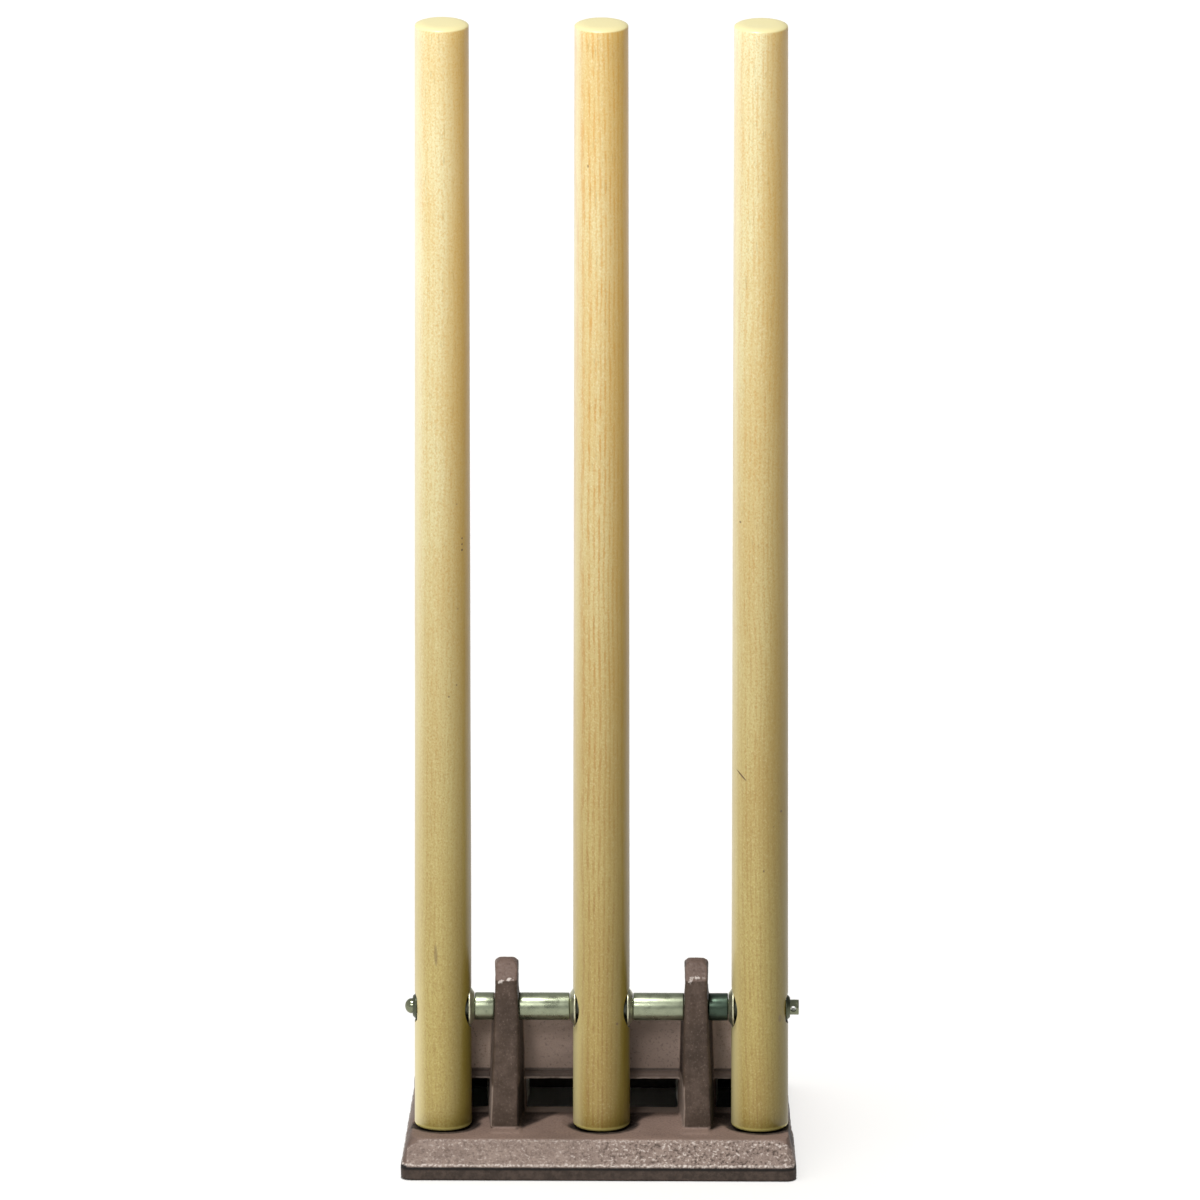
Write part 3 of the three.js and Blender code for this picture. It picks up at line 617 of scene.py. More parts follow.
def ash_wood(label, seed, bright_at, rings, speckle, warm, wavy, marks):
    """Lacquered ash, brightest at a height. rings and speckle are how much of the growth rings and
    of the fine flecks shows, warm how golden it is, and wavy how far the rings wander."""
    place = STUMP_X[label]
    s = Shader(f"ash_{label}", (place, AXLE_Y, 0))

    def figure(scale, detail=2, roughness=0.6):
        return s.noise(s.place((place, AXLE_Y, seed), scale), 1.0, detail, roughness)

    drift = figure((16, 16, 2.4), roughness=0.5)
    wander = figure((60, 60, 9), roughness=0.5)
    pores = figure((1000, 1000, 95))
    dashes = figure((520, 520, 75))
    fleck = figure((980, 980, 720))
    cloud = figure((40, 40, 7), 3, 0.55)
    across = s.plus(s.plus(s.x, s.times(s.y, 0.2)), s.times(drift, wavy))
    across = s.plus(across, s.times(wander, WANDER))
    phase = s.times(across, 2 * math.pi / RING_WIDTH)
    ring = s.plus(s.times(s.math("SINE", phase), 0.5), 0.5)

    # Each colour is given for the foot and for the bright height: partly the wood's tone, partly
    # painted light
    height = s.span(s.z, 20 * MM, bright_at)
    pale, golden = s.mix(height, "ad9b55", "dcd6aa"), s.mix(height, "937533", "d0b067")
    brown = s.mix(height, "8a672a", "c9923a")
    streak = s.times(s.span(ring, 0.3, 0.9), s.span(dashes, 0.36, 0.64, 0.2, 1.0), rings)
    light_fleck = s.times(s.span(fleck, 0.46, 0.3), 0.55 * speckle)
    # Painted light down the left side, strongest low down
    painted_light_left = s.times(s.span(s.x, -9 * MM, -17 * MM), s.span(s.z, 160 * MM, 60 * MM, 0.45, 0.8))
    skin = half_width(f"stump_{label}", AXLE_Z - 40 * MM, AXLE_Z + 40 * MM)
    seat = s.times(
        s.span(s.size(s.minus(s.z, AXLE_Z)), SEAT_HALF, SEAT_HALF - 0.6 * MM),
        s.span(s.reach(s.x, s.y), skin - 0.3 * MM, skin - 0.7 * MM),
    )
    coats = [
        (streak, brown),
        (s.times(s.span(fleck, 0.5, 0.68), speckle), brown),
        (light_fleck, s.mix(height, "d2c58d", "f6f1d2")),
        (s.span(pores, 0.6, 0.75, 0.0, 0.35), "8a6a33"),
        # Painted shade down the right side
        (s.times(s.span(s.x, -4 * MM, 16 * MM), 0.8), s.mix(height, "6c5e10", "b88c24")),
        (painted_light_left, s.mix(height, "dccf98", "f7f3d8")),
        (s.span(s.z, STUMP_TOP - 2.6 * MM, STUMP_TOP - 1.4 * MM, 0, 0.95), "d6cc98"),
        # A painted highlight round the heel's edge
        (s.span(s.z, STUMP_FOOT + 3.4 * MM, STUMP_FOOT + 1.2 * MM, 0, 0.75), "f2e287"),
        # Painted shade in the washers' seats
        (s.times(seat, 0.93), "1b150e"),
    ]
    front = s.span(s.y, 0.0, -2 * MM)
    for mark_x, mark_z, wide, high, tilt, depth in marks:
        rise = s.minus(s.z, mark_z)
        lean = s.minus(s.minus(s.x, mark_x), s.times(rise, tilt))
        inside = s.span(s.oval(lean, rise, wide, high), 1.0, 0.25, 0.0, depth)
        coats.append((s.times(inside, front), "5a4028"))
    wood = s.mix(s.span(cloud, 0.3, 0.72, warm, 0.5 + 0.9 * warm), pale, golden)
    for mask, coat in coats:
        wood = s.mix(mask, wood, coat)
    relief = s.plus(s.times(pores, 0.5), s.times(ring, 0.25 * rings))
    s.set(Base_Color=wood, Normal=s.bump(relief, 0.12 * MM, 0.35), Coat_Roughness=0.22)
    s.set(Roughness=s.span(cloud, 0.3, 0.7, 0.36, 0.46))
    s.set(Coat_Weight=s.span(seat, 0.0, 0.5, 0.25, 0.0))
    return s.material


def zinc_plate(name, tone="878d77", dull=0.0):
    """Zinc-plated steel gone slightly green and cloudy."""
    s = Shader(name)
    cloud = s.noise(s.here, 95, 3, 0.6)
    turned = s.noise(s.place(scale=(2600, 140, 140)), 1.0, 2, 0.6)
    specks = s.noise(s.here, 900, 2, 0.6)
    tint = s.mix(s.span(cloud, 0.3, 0.7), tone, brighter(tone, 1.18))
    tint = s.mix(s.span(cloud, 0.5, 0.72, 0, 0.55), tint, brighter(tone, 0.76))
    tint = s.mix(s.span(specks, 0.62, 0.74, 0, 0.45), tint, "55584a")
    rough = s.plus(s.span(cloud, 0.3, 0.7, 0.24, 0.4), dull)
    normal = s.bump(turned, 0.06 * MM, 0.25)
    s.set(Base_Color=tint, Metallic=0.92, Roughness=rough, Normal=normal)
    return s.material


def spring_wire():
    """Bare spring steel, a little rusty in specks."""
    s = Shader("spring_wire")
    cloud = s.noise(s.here, 160, 3, 0.6)
    specks = s.noise(s.here, 1400, 2, 0.6)
    tint = s.mix(s.span(cloud, 0.3, 0.7), "74756f", "a3a49c")
    tint = s.mix(s.span(specks, 0.6, 0.74, 0, 0.6), tint, "4a4239")
    s.set(Base_Color=tint, Metallic=0.9, Roughness=s.span(cloud, 0.3, 0.7, 0.28, 0.45))
    s.set(Normal=s.bump(specks, 0.05 * MM, 0.3))
    return s.material


CAST_IRON = cast_iron()
ZINC = zinc_plate("zinc_plate")
# A darker copy of the zinc: painted shade on the right outer tube
ZINC_SHADED = zinc_plate("zinc_shaded", "3c493e", 0.04)
# A paler copy of the zinc: a painted highlight on the cup washers
ZINC_LIT = zinc_plate("zinc_lit", "b4b398", 0.02)
# A dark copy of the zinc: painted shade on the end washers
ZINC_DEEP_SHADE = zinc_plate("zinc_deep_shade", "4c5040", 0.04)
AXLE_STEEL = zinc_plate("axle_steel", "747862", -0.1)
# A dark, dull copy of the zinc: painted shade on the bushes
BUSH_SHADED_STEEL = zinc_plate("bush_shaded_steel", "5a5c50", 0.15)
WIRE = spring_wire()
# Each mark: across, height, half width, half height, slope, strength
WOOD = {
    "left": ash_wood("left", 3.1, 0.70, rings=0.2, speckle=0.45, warm=0.04, wavy=26 * MM, marks=[
        (12.3 * MM, 0.4031, 0.6 * MM, 0.8 * MM, 0.0, 0.85),
        (12.3 * MM, 0.3993, 0.6 * MM, 0.8 * MM, 0.0, 0.85),
        (12.3 * MM, 0.3956, 0.7 * MM, 0.9 * MM, 0.0, 0.95),
        (9.1 * MM, 0.4258, 0.6 * MM, 0.7 * MM, 0.0, 0.5),
        (9.7 * MM, 0.3583, 0.6 * MM, 0.8 * MM, 0.0, 0.45),
        (8.9 * MM, 0.3092, 0.6 * MM, 0.8 * MM, 0.0, 0.6),
        (4.1 * MM, 0.3021, 0.9 * MM, 0.8 * MM, 0.0, 0.6),
        (-4.2 * MM, 0.1346, 1.3 * MM, 8.5 * MM, -0.03, 0.45),
    ]),
    "middle": ash_wood("middle", 0.0, 0.70, rings=0.7, speckle=0.4, warm=0.32, wavy=7 * MM, marks=[
        (-8.1 * MM, 0.6432, 0.6 * MM, 1.2 * MM, 0.0, 0.6),
        (9.9 * MM, 0.0897, 0.9 * MM, 1.0 * MM, 0.0, 0.7),
    ]),
    "right": ash_wood("right", 7.7, 0.80, rings=0.34, speckle=0.45, warm=0.08, wavy=26 * MM, marks=[
        (-12.4 * MM, 0.4142, 0.8 * MM, 0.9 * MM, 0.0, 0.7),
        (-11.4 * MM, 0.2508, 0.9 * MM, 3.6 * MM, -1.0, 0.95),
        (13.2 * MM, 0.2272, 0.8 * MM, 0.9 * MM, 0.0, 0.8),
        (8.6 * MM, 0.2182, 0.6 * MM, 0.7 * MM, 0.0, 0.35),
        (2.5 * MM, 0.1900, 0.7 * MM, 1.0 * MM, 0.0, 0.75),
        (12.7 * MM, 0.0930, 1.2 * MM, 3.0 * MM, 0.0, 0.4),
    ]),
}


# Camera, floor and lights

CAMERA_AWAY = 20.0
CAMERA_SIDE = math.radians(0.7)
CAMERA_RISE = math.radians(16.57)
VIEW_WIDTH = 0.743
SENSOR = 36.0
AIM = Vector((-0.9 * MM, AXLE_Y, 0.36))
FLOOR_HALF = 20
LAMP_AIM = Vector((0, AXLE_Y, 0.3))
LAMP_AWAY = 3.0
# Each lamp: name, side and rise in degrees, size, watts
LAMPS = [("key", -15, 30, 0.7, 24), ("high", -35, 70, 0.35, 74)]
FLOOR_LIGHT_STRENGTH = 2.3
# The sky's strength from low to high along each axis, added up
SKY = [("X", 0.62, -0.10), ("Z", 0.30, 0.12)]


def direction(side, rise):
    """The way towards a place seen from the part: side is turned from the front to the right."""
    level = math.cos(rise)
    return Vector((math.sin(side) * level, -math.cos(side) * level, math.sin(rise)))


def looking(name, data, aim, way, away):
    """A camera or lamp that stands off a place and looks at it."""
    thing = placed(name, data)
    thing.location = aim + way * away
    thing.rotation_mode = "QUATERNION"
    thing.rotation_quaternion = (-way).to_track_quat("-Z", "Y")
    return thing


def camera():
    lens = bpy.data.cameras.new("camera")
    lens.sensor_width = SENSOR
    lens.lens = SENSOR * CAMERA_AWAY / VIEW_WIDTH
    lens.clip_start, lens.clip_end = 0.1, 100
    way = direction(CAMERA_SIDE, CAMERA_RISE)
    bpy.context.scene.camera = looking("camera", lens, AIM, way, CAMERA_AWAY)


def floor():
    half = FLOOR_HALF
    corners = [(-half, -half, 0), (half, -half, 0), (half, half, 0), (-half, half, 0)]
    ground = placed("studio_floor", mesh_from("studio_floor", corners, [(0, 1, 2, 3)]))
    s = Shader("studio_floor")
    pale = s.mix(s.noise(s.here, 1.5), "f8f7f5", "fcfbf9")
    s.set(Base_Color=pale, Roughness=0.9, Specular_IOR_Level=0.1)
    ground.data.materials.append(s.material)
    return ground


def softbox(name, side, rise, size, watts):
    light = bpy.data.lights.new(name, "AREA")
    light.shape = "RECTANGLE"
    light.size = light.size_y = size
    light.energy = watts
    way = direction(math.radians(side), math.radians(rise))
    return looking(name, light, LAMP_AIM, way, LAMP_AWAY)


def collected(name, *members):
    group = bpy.data.collections.new(name)
    for member in members:
        group.objects.link(member)
    return group


def floor_light(ground, base, others):
    """An even light for the floor alone, shaded only by the base; the other lamps miss it."""
    light = bpy.data.lights.new("floor_light", "SUN")
    light.energy = FLOOR_LIGHT_STRENGTH
    lamp = placed("floor_light", light)
    lamp.light_linking.receiver_collection = collected("floor_light_receivers", ground)
    lamp.light_linking.blocker_collection = collected("floor_light_blockers", base)
    no_floor = collected("studio_light_receivers", ground)
    no_floor.collection_objects[0].light_linking.link_state = "EXCLUDE"
    for other in others:
        other.light_linking.receiver_collection = no_floor


def sky():
    """Soft light from all round, brightest on the left and a little brighter from below."""
    world = bpy.data.worlds.new("studio")
    world.use_nodes = True
    tree = world.node_tree
    split = tree.nodes.new("ShaderNodeSeparateXYZ")
    tree.links.new(tree.nodes.new("ShaderNodeTexCoord").outputs["Generated"], split.inputs[0])
    total = tree.nodes.new("ShaderNodeMath")
    total.operation = "ADD"
    for slot, (axis, low, high) in enumerate(SKY):
        step = tree.nodes.new("ShaderNodeMapRange")
        for key, value in (("From Min", -1), ("From Max", 1), ("To Min", low), ("To Max", high)):
            step.inputs[key].default_value = value
        tree.links.new(split.outputs[axis], step.inputs["Value"])
        tree.links.new(step.outputs[0], total.inputs[slot])
    tree.links.new(total.outputs[0], tree.nodes["Background"].inputs["Strength"])
    tree.nodes["Background"].inputs["Color"].default_value = (1, 1, 1, 1)
    bpy.context.scene.world = world


def studio(ground, base):
    sky()
    bpy.context.scene.view_settings.view_transform = "Standard"
    floor_light(ground, base, [softbox(*lamp) for lamp in LAMPS])


# The base casting

VOXEL = 0.8 * MM
# The sand-cast skin: noise scale and height in millimetres
LUMPS = ((95, 0.22), (260, 0.13))
APRON_LUMPS = (520, 0.22)
UNDERSIDE = 0.8 * MM
# How far the lugs are drawn in, as shares, and how far feet and sides are set aside
LUG_SLIM, CROWN_SLIM = 0.2, 0.28
LUG_FOOT_SHIFT = 1.1 * MM
SIDE_SHIFT, RIGHT_SIDE_SHIFT = 1.2 * MM, 1.0 * MM


def ramp(value, low, high):
    """The value's way from low to high, from 0 to 1."""
    return np.clip((value - low) / (high - low), 0, 1)


def slimmed(place):
    """Draws the lugs in behind the axle, above the wall, sets their feet a little outwards, and
    sets the base's sides a little to the left."""
    x, y, z = place.T
    side = np.sign(x)
    aside = x - side * LUG_OFFSET
    near = np.abs(aside) < 15 * MM
    back = ramp(y, AXLE_Y - 14 * MM, AXLE_Y + 6 * MM)
    high = ramp(z, WALL_TOP + 1 * MM, WALL_TOP + 13 * MM)
    full = 1 - 0.75 * ramp(z, 108 * MM, 124 * MM)
    x -= np.where(near, aside * LUG_SLIM * back * high * full, 0)
    crown = ramp(z, 123 * MM, 128.3 * MM) ** 2
    x -= np.where(near, aside * CROWN_SLIM * crown, 0)
    low = ramp(z, 75 * MM, 30 * MM) * (z > FLOOR_HEIGHT + 1.2 * MM)
    ahead = ramp(y, NOSE_Y - 3 * MM, NOSE_Y - 9 * MM)
    x += np.where(near, side * LUG_FOOT_SHIFT * low * ahead, 0)
    behind = ramp(y, AXLE_Y + 17 * MM, AXLE_Y + 25 * MM)
    out = np.abs(x)
    edge = (1 - behind) * ramp(out, 115.5 * MM, 119 * MM) + behind * ramp(out, 104 * MM, 112 * MM)
    x -= edge * (SIDE_SHIFT + behind * (side > 0) * RIGHT_SIDE_SHIFT)


def bumps(points, *layers):
    """The height of each point's lumps in millimetres, from layers of noise."""
    return np.array([
        sum(noise.noise(Vector(p) * scale) * height for scale, height in layers) for p in points
    ])


def vertex_values(mesh, name):
    values = np.empty(len(mesh.vertices) * 3, np.float32)
    mesh.vertices.foreach_get(name, values)
    return values.reshape(-1, 3)


def base_body():
    """The casting with round edges and a sand-cast skin."""
    shell = bmesh.new()
    shell.from_mesh(NODES["base_casting"].data)
    bmesh.ops.remove_doubles(shell, verts=shell.verts, dist=1e-6)
    mesh = bpy.data.meshes.new("base_body")
    shell.to_mesh(mesh)
    shell.free()
    body = placed("base_body", mesh)
    skin = body.modifiers.new("skin", "REMESH")
    skin.mode, skin.voxel_size = "VOXEL", VOXEL
    ease = body.modifiers.new("ease", "SMOOTH")
    ease.factor, ease.iterations = 0.5, 2
    baked(body)
    place = vertex_values(body.data, "co")
    normals = vertex_values(body.data, "normal")
    lumps = bumps(place, *LUMPS)
    on_apron = (place[:, 1] < APRON_TOP_Y) & (place[:, 2] > TOE_HEIGHT - 0.5 * MM)
    lumps[on_apron] += bumps(place[on_apron], APRON_LUMPS)
    standing = place[:, 2] > UNDERSIDE
    place += normals * (lumps * standing * MM)[:, None].astype(np.float32)
    slimmed(place)
    body.data.vertices.foreach_set("co", place.ravel())
    body.data.update()
    smooth(body)
    return finished(body, CAST_IRON, "base", ["base_casting"])


# Stumps

STUMP_SIDES = 96
ROUND_STEPS = 8
HEEL_IN, HEEL_RISE = 2.4 * MM, 2.2 * MM
TIP_FLAT, TIP_RISE = 9.75 * MM, 2.3 * MM
RING_STEP, FINE_STEP, FINE_HALF = 8 * MM, 3 * MM, 22 * MM
BORE_RADIUS, BORE_HALF = 7.3 * MM, 30 * MM
SPOT_RADIUS, SPOT_DEPTH = 10 * MM, 1.6 * MM
SEAT_RADIUS, MOUTH_RADIUS, SEAT_DEPTH = 10.1 * MM, 15.4 * MM, 5 * MM
CUT_OVER = 3 * MM
EYE_HOLE_RADIUS, EYE_HOLE_START, EYE_HOLE_END = 1.7 * MM, 4 * MM, 20 * MM
WOOD_EDGE, WOOD_UNEVEN = 0.45 * MM, 0.12 * MM


def stump_outline(foot, top, radius_foot, radius_top):
    """A tapered stump's [radius, height] with a rounded heel and tip."""
    heel_flat = radius_foot - HEEL_IN
    outline = [(0, foot), (heel_flat / 2, foot)]
    for step in range(ROUND_STEPS + 1):
        angle = step / ROUND_STEPS * math.pi / 2
        reach = heel_flat + (radius_foot - heel_flat) * math.sin(angle)
        outline.append((reach, foot + HEEL_RISE * (1 - math.cos(angle))))
    rise, end = foot + HEEL_RISE, top - TIP_RISE
    while rise < end - 9 * MM:
        rise += FINE_STEP if abs(rise - AXLE_Z) < FINE_HALF else RING_STEP
        share = (rise - foot) / (top - foot)
        outline.append((radius_foot + (radius_top - radius_foot) * share, rise))
    for step in range(ROUND_STEPS + 1):
        angle = step / ROUND_STEPS * math.pi / 2
        reach = TIP_FLAT + (radius_top - TIP_FLAT) * math.cos(angle)
        outline.append((reach, end + TIP_RISE * math.sin(angle)))
    return outline + [(TIP_FLAT / 2, top), (0, top)]


def stump_cutters(label, skin):
    """The bore, the washers' seats and the screw eye's hole; skin is the wood's radius there."""
    level = (0, 0, AXLE_Z)
    points, faces = plug(BORE_RADIUS, -BORE_HALF, BORE_HALF, 48)
    cutters = [(moved(points, level), faces)]
    for side in (-1, 1):
        if STUMP_X[label] * side > 1 * MM:
            points, faces = plug(SPOT_RADIUS, skin - SPOT_DEPTH, skin + CUT_OVER, 64)
        else:
            points, faces = plug(SEAT_RADIUS, skin - SEAT_DEPTH, skin + CUT_OVER, 64, MOUTH_RADIUS)
        cutters.append((moved([(x * side, y, z) for x, y, z in points], level), faces))
    eye_low, eye_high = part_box(f"screw_eye_{label}")
    points, faces = plug(EYE_HOLE_RADIUS, EYE_HOLE_START, EYE_HOLE_END, 24)
    cutters.append((moved(turned_to_y(points), (0, 0, (eye_low.z + eye_high.z) / 2)), faces))
    return cutters


def stump_body(label):
    """A turned ash stump, cut for its bush, washers and screw eye."""
    low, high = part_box(f"stump_{label}")
    place, foot, top = STUMP_X[label], low.z, high.z
    radius_foot = (high.x - low.x) / 2
    radius_top = half_width(f"stump_{label}", top - 3 * MM, top - 2 * MM)
    points, faces = lathe(stump_outline(foot, top, radius_foot, radius_top), STUMP_SIDES, "z")
    body = placed(f"stump_{label}_wood", outward(mesh_from(f"stump_{label}_wood", points, faces)))
    skin = radius_foot + (radius_top - radius_foot) * (AXLE_Z - foot) / (top - foot)
    cut(body, stump_cutters(label, skin))
    eased(body, WOOD_EDGE, 35)
    for vertex in body.data.vertices:
        x, y, z = vertex.co
        uneven = noise.noise(Vector((x * 20, y * 20, z * 9 + place * 50))) * WOOD_UNEVEN
        vertex.co += Vector((x, y, 0)).normalized() * uneven + Vector((place, AXLE_Y, 0))
    smooth(body, 30)
    return finished(body, WOOD[label], f"{label}_stump", [f"stump_{label}"])


# Turned and pressed metal pieces on the axle

METAL_SIDES = 72
DOME_STEPS, DOME_RISE, DOME_SHOULDER = 10, 4.2 * MM, 12 * MM
AXLE_CHAMFER, AXLE_EDGE = 0.7 * MM, 0.25 * MM
CROSS_HOLE_RADIUS, CROSS_HOLE_HALF, CROSS_HOLE_IN = 1.85 * MM, 9 * MM, 3.4 * MM
TUBE_ROOM, BUSH_ROOM = 0.3 * MM, 0.2 * MM
TUBE_REACH = 1.7 * MM
# Each kind of washer: crown radius, height of its lip, thickness of the sheet
CUP_WASHER = (8.6 * MM, 0.9 * MM, 1.5 * MM)
END_WASHER = (6.2 * MM, 0.6 * MM, 1.2 * MM)


def on_axle(name, outline, material, body, nodes):
    points, faces = lathe(outline, METAL_SIDES, "x")
    mesh = outward(mesh_from(name, moved(points, (0, AXLE_Y, AXLE_Z)), faces))
    piece = placed(name, mesh)
    smooth(piece, 40)
    return finished(piece, material, body, nodes)


def axle_bar():
    """The axle, domed at its left end and chamfered, with a cross hole, at its right end."""
    left, right, radius = AXLE_LOW.x, AXLE_HIGH.x, AXLE_RADIUS
    outline = [(0, left)]
    for step in range(1, DOME_STEPS + 1):
        angle = step / DOME_STEPS * math.pi / 2
        outline.append((radius * math.sin(angle), left + DOME_RISE * (1 - math.cos(angle))))
    shank = [(radius, left + DOME_SHOULDER), (radius, right), (0, right)]
    outline += softened(shank, [0, AXLE_CHAMFER, 0], closed=False)
    points, faces = lathe(outline, METAL_SIDES, "x")
    bar = placed("axle_bar", outward(mesh_from("axle_bar", points, faces)))
    points, faces = plug(CROSS_HOLE_RADIUS, -CROSS_HOLE_HALF, CROSS_HOLE_HALF, 32)
    cut(bar, [(moved(turned_to_y(points), (right - CROSS_HOLE_IN, 0, 0)), faces)])
    eased(bar, AXLE_EDGE, 40)
    for vertex in bar.data.vertices:
        vertex.co += Vector((0, AXLE_Y, AXLE_Z))
    smooth(bar, 35)
    return finished(bar, AXLE_STEEL, "base", ["axle_rod"])


def sleeve(node, start, end, room, radii, material, body):
    """A piece of tube round the axle, as thick as its CAD node outside."""
    low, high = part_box(node)
    outer, inner = (high.z - low.z) / 2, AXLE_RADIUS + room
    corners = [(inner, start), (outer, start), (outer, end), (inner, end)]
    outline = softened(corners, [radius * MM for radius in radii])
    return on_axle(f"{node}_sleeve", outline, material, body, [node])


def spacer_tube(node, metal):
    """A tube that reaches a little further into the drawn-in lug beside it."""
    low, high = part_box(node)
    lug = math.copysign(LUG_OFFSET, low.x + high.x)
    start = low.x - (TUBE_REACH if lug < middle_x(node) else 0)
    end = high.x + (TUBE_REACH if lug > middle_x(node) else 0)
    return sleeve(node, start, end, TUBE_ROOM, [0.3, 0.9, 0.9, 0.3], metal, "base")


def bush(label):
    node = f"pivot_bush_{label}"
    low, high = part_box(node)
    radii = [0.3, 0.3, 0.3, 0.3]
    return sleeve(node, low.x, high.x, BUSH_ROOM, radii, BUSH_SHADED_STEEL, f"{label}_stump")


def washer(node, kind, metal):
    """A washer pressed from sheet, with a rolled rim towards its stump."""
    crown, lip, sheet = kind
    low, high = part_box(node)
    rim, hole = (high.z - low.z) / 2, AXLE_RADIUS + TUBE_ROOM
    nearest = min(STUMP_X.values(), key=lambda place: abs(place - middle_x(node)))
    face, back, way = (low.x, high.x, 1) if low.x > nearest else (high.x, low.x, -1)
    corners = [
        (hole, back),
        (crown, back),
        (rim, face + way * lip),
        (rim, face),
        (rim - sheet, face),
        (crown - sheet * 0.6, back - way * sheet),
        (hole, back - way * sheet),
    ]
    outline = softened(corners, [r * MM for r in (0.2, 1.1, 0.7, 0.35, 0.3, 1.0, 0.2)])
    return on_axle(f"{node}_pressing", outline, metal, "base", [node])


# Screw eyes, springs and their anchor rod

EYE_WIRE, EYE_SIDES = 1.4 * MM, 14
SHANK_STEPS, EYE_STEPS = 12, 32
EYE_TURN, EYE_TWIST = math.radians(335), 0.9 * MM
SPRING_WIRE, SPRING_SIDES = 0.75 * MM, 8
SPRING_CURLS, CURL_STEPS = 46.25, 16
HOOK_TURN, HOOK_STEPS = math.radians(220), 16
HOOK_RADIUS, HOOK_ROOM, HOOK_START = 4.5 * MM, 0.3 * MM, math.radians(-130)
EYE_TO_HOOK = 2.8 * MM
# The hook's tail beside its ring, as [across, along] from the ring's centre
HOOK_TAIL = [(-4.7 * MM, 6.3 * MM), (-4.3 * MM, 4.6 * MM)]
COIL_TO_HOOK = 5.5 * MM
# Where a spring is drawn out, from its eye's end
STRETCH_BEFORE, STRETCH_AFTER = 3 * MM, 24 * MM
STRETCH_THINNING = 9.0


def wire(name, path, radius, sides, material, body, nodes):
    points, faces = swept(path, radius, sides)
    piece = placed(name, outward(mesh_from(name, points, faces)))
    smooth(piece)
    return finished(piece, material, body, nodes)


def screw_eye(label):
    """A wire eye: its shank in the stump's back, its ring turned back on itself."""
    node = f"screw_eye_{label}"
    low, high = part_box(node)
    place, level = (low.x + high.x) / 2, (low.z + high.z) / 2
    ring = (high.z - low.z) / 2 - EYE_WIRE
    centre = high.y - EYE_WIRE - ring
    start = low.y + EYE_WIRE
    shank = centre - ring - start
    path = [(place, start + step / SHANK_STEPS * shank, level) for step in range(SHANK_STEPS)]
    for step in range(EYE_STEPS + 1):
        share = step / EYE_STEPS
        angle = math.pi + share * EYE_TURN
        along, rise = centre + ring * math.cos(angle), level + ring * math.sin(angle)
        path.append((place + share * EYE_TWIST, along, rise))
    return wire(f"{node}_wire", path, EYE_WIRE * 0.97, EYE_SIDES, ZINC, f"{label}_stump", [node])


def thinned(piece, near, far):
    """Thins a spring's wire along y between two places, where the tipped stump draws it out."""
    points = np.array([v.co for v in piece.data.vertices]).reshape(-1, SPRING_SIDES, 3)
    centres = points.mean(axis=1, keepdims=True)
    way = ramp(centres[..., 1], near, far)
    share = 1 / (1 + STRETCH_THINNING * way * (1 - way))
    points[..., 1] = centres[..., 1] + (points[..., 1] - centres[..., 1]) * share
    piece.data.vertices.foreach_set("co", points.ravel())
    piece.data.update()


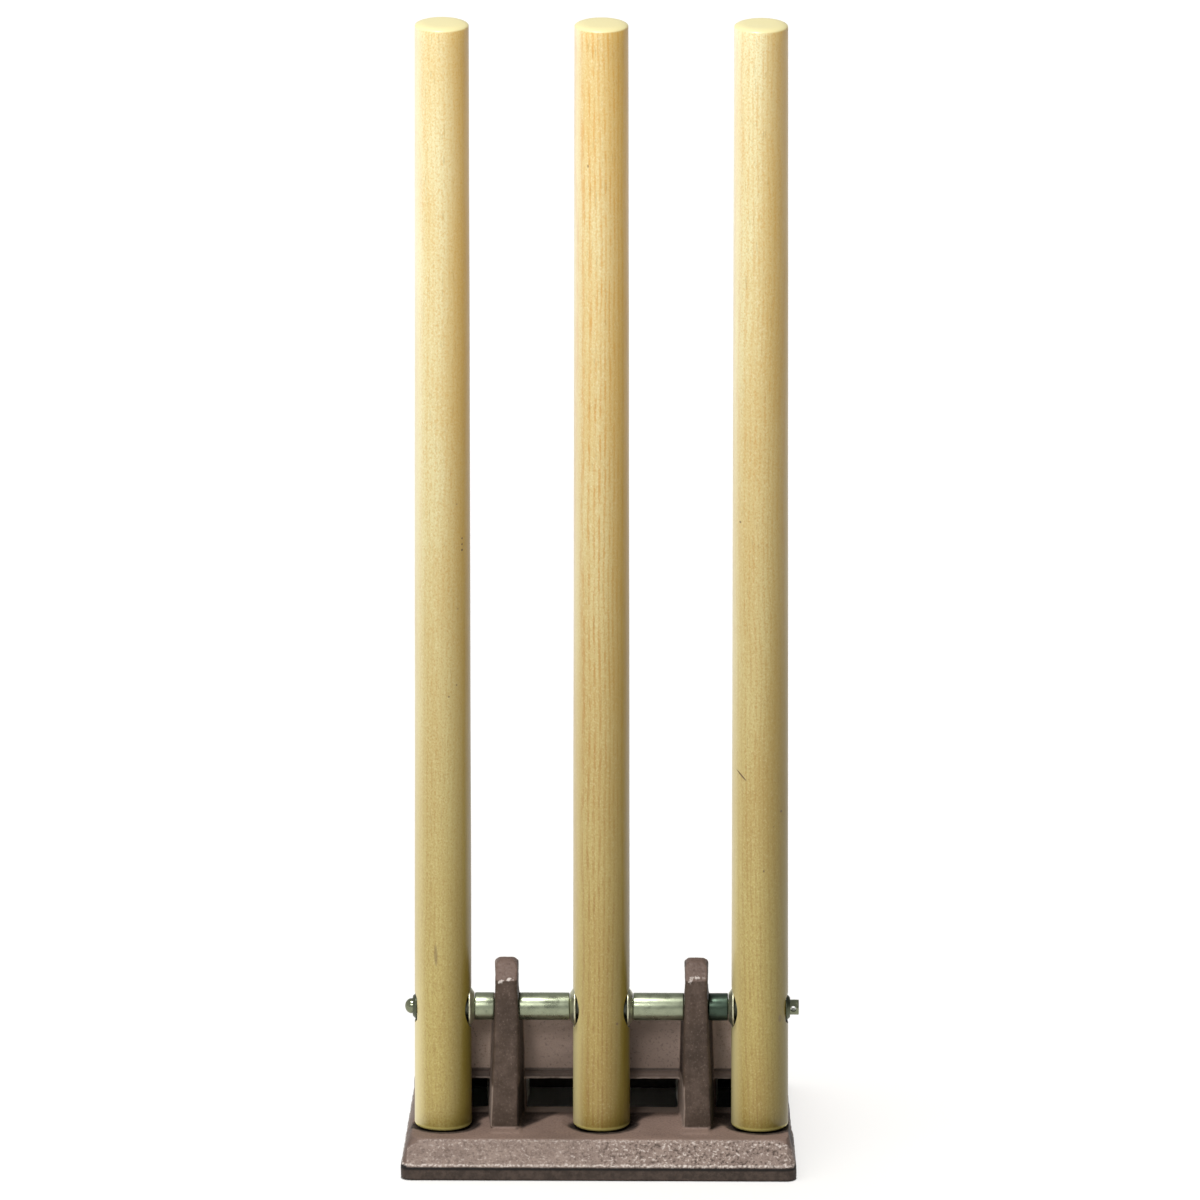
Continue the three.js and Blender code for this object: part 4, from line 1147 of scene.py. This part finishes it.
def spring(label):
    """A close-wound extension spring with a hook at each end, from the anchor rod to its eye."""
    node = f"return_spring_{label}"
    low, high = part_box(node)
    place = (low.x + high.x) / 2
    coil = (high.x - low.x) / 2 - SPRING_WIRE
    rod_low, rod_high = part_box("spring_anchor_rod")
    rod_y, level = (rod_low.y + rod_high.y) / 2, (rod_low.z + rod_high.z) / 2
    rod_hook = (rod_high.z - rod_low.z) / 2 + HOOK_ROOM + SPRING_WIRE
    eye_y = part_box(f"screw_eye_{label}")[1].y
    hook_y = eye_y - EYE_TO_HOOK - SPRING_WIRE - HOOK_ROOM + HOOK_RADIUS
    path = [(place + across, hook_y + along, level) for across, along in HOOK_TAIL]
    for step in range(HOOK_STEPS + 1):
        angle = HOOK_START + HOOK_TURN * step / HOOK_STEPS
        across, along = HOOK_RADIUS * math.sin(angle), HOOK_RADIUS * math.cos(angle)
        path.append((place + across, hook_y - along, level))
    start, end = hook_y + COIL_TO_HOOK, rod_y - COIL_TO_HOOK
    steps = int(SPRING_CURLS * CURL_STEPS)
    for step in range(1, steps):
        angle = step / CURL_STEPS * 2 * math.pi
        along = start + (end - start) * step / steps
        path.append((place + coil * math.cos(angle), along, level + coil * math.sin(angle)))
    for step in range(HOOK_STEPS + 1):
        angle = math.pi / 2 - HOOK_TURN * step / HOOK_STEPS
        along, rise = rod_y + rod_hook * math.cos(angle), level + rod_hook * math.sin(angle)
        path.append((place, along, rise))
    piece = wire(f"{node}_coil", path, SPRING_WIRE, SPRING_SIDES, WIRE, None, [node])
    near, far = eye_y - STRETCH_BEFORE, eye_y + STRETCH_AFTER
    thinned(piece, near, far)
    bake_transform(piece)
    return piece


def anchor_rod():
    low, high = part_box("spring_anchor_rod")
    radius, centre = (high.z - low.z) / 2, (low + high) / 2
    corners = [(0, low.x), (radius, low.x), (radius, high.x), (0, high.x)]
    outline = softened(corners, [0, 0.6 * MM, 0.6 * MM, 0], closed=False)
    points, faces = lathe(outline, 48, "x")
    mesh = outward(mesh_from("anchor_rod", moved(points, (0, centre.y, centre.z)), faces))
    piece = placed("anchor_rod", mesh)
    smooth(piece, 40)
    return finished(piece, ZINC, "base", ["spring_anchor_rod"])


# The whole scene

camera()
studio(floor(), base_body())
axle_bar()
anchor_rod()
for label in STUMPS:
    stump_body(label)
    bush(label)
    screw_eye(label)
    spring(label)
for side in ("left", "right"):
    spacer_tube(f"spacer_tube_inner_{side}", ZINC)
    # The right outer tube wears the painted-shade copy of the zinc
    spacer_tube(f"spacer_tube_outer_{side}", ZINC_SHADED if side == "right" else ZINC)
    # The cup washers wear the painted-highlight copy of the zinc
    washer(f"cup_washer_inner_{side}", CUP_WASHER, ZINC_LIT)
    washer(f"cup_washer_outer_{side}", CUP_WASHER, ZINC_LIT)
    # The end washers wear the painted-shade copy of the zinc
    washer(f"end_washer_{side}", END_WASHER, ZINC_DEEP_SHADE)
